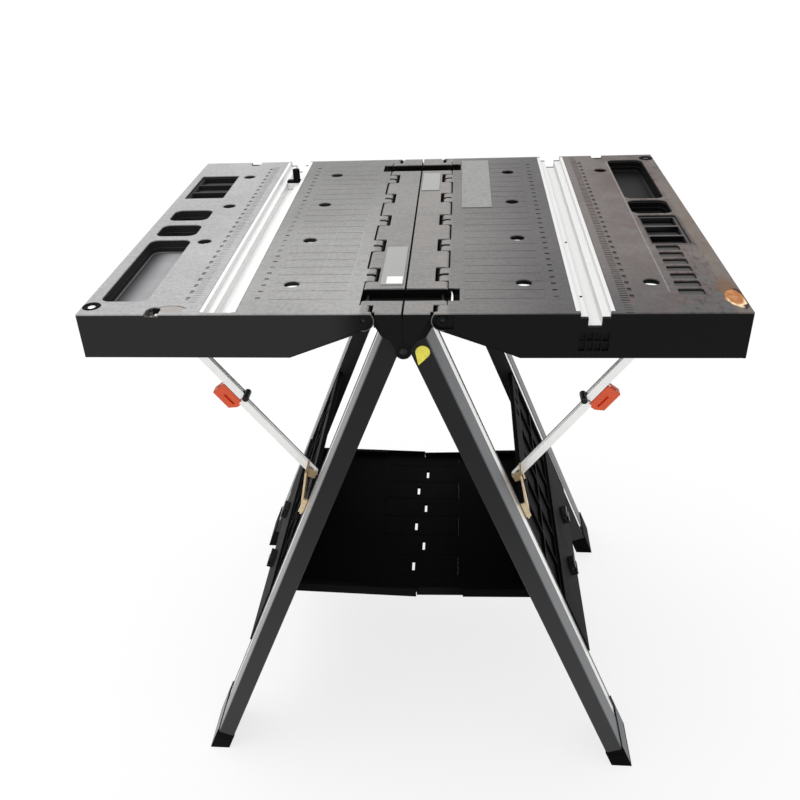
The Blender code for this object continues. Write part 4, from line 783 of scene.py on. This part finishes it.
def score(tool, side, x0, x1, y0, y1, depth):
    """A shallow cut in the top between two x and two y, on one side of the table."""
    xs = sorted((side * x0, side * x1))
    add_block(tool, (xs[0], y0, TOP - depth), (xs[1], y1, TOP + CLEAR))


def rows(reach, pitch):
    """Places at a pitch along the table, both ways from its middle."""
    count = int(reach / pitch)
    return [i * pitch for i in range(-count, count + 1)]


def nose_recess(tool, side, end):
    """The recess round the hinge in the end of a wing: round towards the middle, square towards the edge."""
    radius, reach, deep = 0.0102, 0.0135, 0.0025
    turns = [math.radians(90 + 180 * i / 16) for i in range(17)]
    outline = [(side * (HINGE_X + radius * math.cos(a)), HINGE_Z - 0.0012 + radius * 0.88 * math.sin(a)) for a in turns]
    low, high = outline[-1][1], outline[0][1]
    outline += [(side * (HINGE_X + reach), low), (side * (HINGE_X + reach), high)]
    add_prism(tool, outline, end * (HALF_DEPTH - deep), end * (HALF_DEPTH + deep))


def nose_rim(edge):
    """Whether an edge runs round the nose in the end of a wing."""
    inner = all(abs(v.co.x) < NOSE_REACH and v.co.z < TOP - 0.002 for v in edge.verts)
    return inner and at(edge, 1, HALF_DEPTH, 1.5e-4) and not at(edge, 2, SKIRT, 0.0012)


def tray_floor(edge):
    """Whether an edge runs round the floor of a deep tray."""
    return at(edge, 2, TRAY_FLOOR) and all(abs(v.co.x) > TRAY_X for v in edge.verts)


def round_wing(bm, sizes):
    """Rounds a wing edge by edge and keeps the rounds inside its depth."""
    soften(bm, sharp_edges(bm, lambda e: at(e, 0, HALF_WIDTH) and at(e, 1, HALF_DEPTH)), sizes.corner, 4)
    soften(bm, sharp_edges(bm, lambda e: at(e, 2, TOP)), sizes.edge)
    soften(bm, sharp_edges(bm, tray_floor), sizes.fillet, 3)
    soften(bm, sharp_edges(bm, lambda e: at(e, 2, SKIRT)), sizes.edge)
    soften(bm, sharp_edges(bm, nose_rim), sizes.edge)
    for v in bm.verts:
        v.co.y = min(max(v.co.y, -HALF_DEPTH), HALF_DEPTH)
    return bm


def wing_cuts(side, sizes):
    """Everything that is cut out of a rounded wing."""
    tool = bmesh.new()
    for y in rows(GROOVE_REACH, sizes.groove_pitch):
        score(tool, side, *GROOVES, y, y + sizes.groove_width, sizes.groove_depth)
    for y in rows(SQUARE_REACH, sizes.mark_pitch):
        for xs, half in SQUARES:
            score(tool, side, *xs, y - half, y + half, SQUARE_DEPTH)
    for y in rows(TICK_REACH, sizes.tick_pitch):
        score(tool, side, *TICKS, y - TICK_WIDTH / 2, y + TICK_WIDTH / 2, TICK_DEPTH)
    for y in KNUCKLES:
        score(tool, side, *DASH_X, y + DASH_Y[0], y + DASH_Y[1], DASH_DEPTH)
    for y in SEAMS:
        score(tool, side, SEAM_INNER_X, SEAM_X + sizes.seam, y - SEAM_HALF, y + SEAM_HALF, SEAM_DEPTH)
    for centre in DOGS[side]:
        add_drum(tool, centre, DOG_SINK, TOP - 0.0170, TOP - 0.0032)
    nose_recess(tool, side, -side)
    return tool


def wing_ribs(side):
    """What is joined on to a cut wing: the boss of its hinge and a rib in each hand slot."""
    tool = bmesh.new()
    add_lathe(tool, (side * HINGE_X, -side * HALF_DEPTH, HINGE_Z), (0, side, 0), HINGE_BOSS)
    xs, zs = sorted(side * x for x in SLOT_RIB_X), SLOT_RIB_Z
    for end in SLOT_ENDS[side]:
        near, far = (SLOT_BACK[end] + y for y in SLOT_RIB_Y)
        add_block(tool, (xs[0], near, zs[0]), (xs[1], far, zs[1]))
    return tool


def eyelet_outline(radius):
    """The ring of an eyelet and the sleeve in its hole."""
    hole = EYELET_HOLE
    return [(hole, -0.006), (hole + 0.0004, -0.006), (hole + 0.0004, -0.0003), (radius, -0.0003), (radius, 0.0003),
            (radius - 0.0006, 0.0008), (radius - 0.0030, 0.0010), (hole + 0.0006, 0.0004), (hole, -0.0004)]


class TABLE_OT_wings(Operator):
    """Rounds the wings and cuts their grooves, marks and lines"""
    bl_idname = "work_table.wings"
    bl_label = "Wings"

    def execute(self, context):
        sizes = context.scene.table_sizes
        for word, side in SIDES:
            node = f"wing_deck_{word}"
            bm = carve(round_wing(open_copy(node), sizes), wing_cuts(side, sizes))
            stand_in(f"wing_moulding_{word}", carve(bm, wing_ribs(side), "UNION"), node)
            corner = (*EYELETS[side], TOP)
            ring = bmesh.new()
            add_lathe(ring, corner, (0, 0, 1), eyelet_outline(sizes.eyelet), 32)
            piece(f"corner_eyelet_{word}", ring, f"wing_{word}", "black_plastic")
            plug = bmesh.new()
            add_lathe(plug, corner, (0, 0, 1), CORNER_PLUG)
            piece(f"corner_plug_{word}", plug, f"wing_{word}", "plated_steel")
        return {"FINISHED"}


class TABLE_OT_beam(Operator):
    """Rounds the split centre beam and finishes its plates and pins"""
    bl_idname = "work_table.beam"
    bl_label = "Centre beam"

    def execute(self, context):
        sizes = context.scene.table_sizes
        for word, side in SIDES:
            node = f"centre_beam_{word}"
            bm = open_copy(node)
            soften(bm, sharp_edges(bm, lambda e: at(e, 2, TOP)), sizes.edge)
            tool = bmesh.new()
            for _, end in ENDS:
                add_lathe(tool, (0, end * HALF_DEPTH, PIVOT_Z), (0, -end, 0), PIVOT_RING)
            for y in KNUCKLES:
                for wall in (-1, 1):
                    ys = sorted((y + wall * GAP_Y[0], y + wall * (GAP_Y[1] + 2 * sizes.seam)))
                    score(tool, side, *GAP_X, *ys, SEAM_DEPTH)
            bm = carve(bm, tool)
            tool = bmesh.new()
            score(tool, side, -CLEAR, sizes.seam, -HALF_DEPTH - CLEAR, HALF_DEPTH + CLEAR, SEAM_DEPTH)
            bm = carve(bm, tool)
            stand_in(f"beam_moulding_{word}", bm, node)
            paint(f"plate_centre_{word}", f"hinge_pin_{word}")
        paint("plate_wing_right", "pivot_pin_front", "pivot_pin_rear", "leg_tag")
        return {"FINISHED"}


class TABLE_OT_rails(Operator):
    """Rounds the clamp rails and the stop"""
    bl_idname = "work_table.rails"
    bl_label = "Clamp rails"

    def execute(self, context):
        sizes = context.scene.table_sizes
        for word, _ in SIDES:
            rounded(f"rail_extrusion_{word}", f"rail_{word}", sizes.small_edge, lambda e: e.calc_length() > 0.3)
        screws = bmesh.new()
        for y in SCREWS:
            add_screw(screws, (SCREW_X, y, TOP - RAIL_STEP), sizes.screw)
        piece("rail_screws_right", screws, "wing_right", "dark_steel")
        rounded("rail_stop_moulding", "rail_stop", sizes.small_edge)
        return {"FINISHED"}


class TABLE_OT_legs(Operator):
    """Rounds the legs and feet"""
    bl_idname = "work_table.legs"
    bl_label = "Legs and feet"

    def execute(self, context):
        sizes = context.scene.table_sizes
        for end, _ in ENDS:
            for word, _ in SIDES:
                node = f"leg_{end}_{word}"
                outer = max(abs(corner.y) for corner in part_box(node))
                rounded(f"leg_tube_{end}_{word}", node, sizes.leg_edge,
                        lambda e: e.calc_length() > 0.5 and at(e, 1, outer), segments=3)
                rounded(f"foot_cap_{end}_{word}", f"foot_{end}_{word}", sizes.small_edge,
                        lambda e: e.calc_length() > 0.012 and not at(e, 2, 0.0), 40)
        return {"FINISHED"}


class TABLE_OT_braces(Operator):
    """Finishes the folding braces, brackets, anchors and levers"""
    bl_idname = "work_table.braces"
    bl_label = "Braces"

    def execute(self, context):
        sizes = context.scene.table_sizes
        small, lever = sizes.small_edge, sizes.lever_edge
        kinds = (("brace_lower", "lower_link", small), ("brace_upper", "upper_link", small),
                 ("lever", "release_lever", lever), ("brace_bracket", "bracket_plate", small),
                 ("brace_anchor", "anchor_lug", small))
        for word, _ in SIDES:
            for node, name, width in kinds:
                rounded(f"{name}_{word}", f"{node}_{word}", width, lambda e: e.calc_length() > 0.006, 60, 3)
            paint(f"brace_rivet_{word}", f"lever_pin_{word}")
        return {"FINISHED"}


class TABLE_OT_shelf(Operator):
    """Finishes the shelf, the side panels and the clips"""
    bl_idname = "work_table.shelf"
    bl_label = "Shelf and panels"

    def execute(self, context):
        width = context.scene.table_sizes.small_edge
        for word, side in SIDES:
            node = f"shelf_{word}"
            bm = open_copy(node)
            tips = [v for v in bm.verts if -side * v.co.x > FINGER_TIP - 0.002]
            bmesh.ops.translate(bm, verts=tips, vec=(-side * 0.0004, 0, 0))
            upper = SHELF_HINGE.z - 0.012
            soften(bm, sharp_edges(bm, lambda e: e.calc_length() > 0.06 and e.verts[0].co.z > upper, 60), width)
            stand_in(f"shelf_tray_{word}", bm, node)
            rounded(f"panel_moulding_{word}", f"side_panel_{word}", width, lambda e: e.calc_length() > 0.008, 60)
            for end, _ in ENDS:
                rounded(f"storage_clip_{end}_{word}", f"clip_{end}_{word}", width, angle=60)
        return {"FINISHED"}


def floor_finish(colours, white):
    """Pale floor that keeps the table's shadow and looks near white to the camera and in the metal."""
    f = Finish("pale floor")
    speck = f.noise(3, 3)
    f.done(base=f.blend(colours.floor, (0.86, 0.86, 0.855), speck * 0.3), rough=0.85)
    glow = f.add("ShaderNodeEmission", inputs={"Color": (1.0, 1.0, 1.0), "Strength": 1.0})
    plain = Wire(f, f.shader.outputs[0])
    mixed = f.add("ShaderNodeMixShader", inputs={0: f.seen() * white, 1: plain, 2: glow})
    f.put(f.tree.nodes["Material Output"].inputs["Surface"], mixed)
    return f.material


class TABLE_OT_stage(Operator):
    """Sets up the floor, the light and the camera"""
    bl_idname = "work_table.stage"
    bl_label = "Stage"

    def execute(self, context):
        scene = context.scene
        stage = scene.table_stage
        bm = bmesh.new()
        bmesh.ops.create_grid(bm, x_segments=1, y_segments=1, size=FLOOR_HALF)
        mesh = bpy.data.meshes.new("floor")
        bm.to_mesh(mesh)
        bm.free()
        mesh.materials.append(floor_finish(scene.table_colours, stage.floor_glow))
        floor = bpy.data.objects.new("floor", mesh)
        scene.collection.objects.link(floor)

        lamp = bpy.data.lights.new("key light", "SUN")
        lamp.energy, lamp.angle = stage.sun, stage.sun_spread
        key = bpy.data.objects.new("key light", lamp)
        scene.collection.objects.link(key)
        key.rotation_euler = KEY_WAY.to_track_quat("-Z", "Y").to_euler()

        scene.world = scene.world or bpy.data.worlds.new("studio")
        scene.world.use_nodes = True
        nodes = Nodes(scene.world.node_tree)
        nodes.tree.nodes.clear()
        level = nodes.add("ShaderNodeMapRange", inputs={0: nodes.seen(), 3: stage.sky, 4: 1.0})
        sky = nodes.add("ShaderNodeBackground", inputs={0: (1.0, 1.0, 1.0), 1: level})
        nodes.add("ShaderNodeOutputWorld", inputs={0: sky})
        scene.view_settings.view_transform = "Standard"

        flat = math.cos(stage.pitch)
        forward = Vector((math.sin(stage.yaw) * flat, math.cos(stage.yaw) * flat, -math.sin(stage.pitch)))
        right = Vector((math.cos(stage.yaw), -math.sin(stage.yaw), 0.0))
        down = forward.cross(right)
        across = math.cos(stage.roll) * right + math.sin(stage.roll) * down
        drop = math.cos(stage.roll) * down - math.sin(stage.roll) * right
        turn = Matrix((across, -drop, -forward)).transposed().to_4x4()
        lens = bpy.data.cameras.new("camera")
        lens.sensor_width, lens.lens = 36.0, stage.lens
        lens.shift_x, lens.shift_y = stage.shift_x, stage.shift_y
        camera = bpy.data.objects.new("camera", lens)
        scene.collection.objects.link(camera)
        camera.matrix_world = Matrix.Translation(Vector(stage.camera_place)) @ turn
        scene.camera = camera
        return {"FINISHED"}


OPERATORS = (TABLE_OT_stage, TABLE_OT_wings, TABLE_OT_beam, TABLE_OT_rails, TABLE_OT_legs, TABLE_OT_braces,
             TABLE_OT_shelf)


class TABLE_PT_panel(Panel):
    bl_idname = "TABLE_PT_panel"
    bl_label = "Work table"
    bl_space_type = "VIEW_3D"
    bl_region_type = "UI"
    bl_category = "Work table"

    def draw(self, context):
        for operator in OPERATORS:
            self.layout.operator(operator.bl_idname)


CLASSES = (TableSizes, TableColours, StageSettings, *OPERATORS, TABLE_PT_panel)


def register():
    for item in CLASSES:
        bpy.utils.register_class(item)
    bpy.types.Scene.table_sizes = PointerProperty(type=TableSizes)
    bpy.types.Scene.table_colours = PointerProperty(type=TableColours)
    bpy.types.Scene.table_stage = PointerProperty(type=StageSettings)


def unregister():
    del bpy.types.Scene.table_stage, bpy.types.Scene.table_colours, bpy.types.Scene.table_sizes
    for item in reversed(CLASSES):
        bpy.utils.unregister_class(item)


def main():
    register()
    for operator in OPERATORS:
        getattr(bpy.ops.work_table, operator.bl_idname.split(".")[1])()


if __name__ == "__main__":
    main()
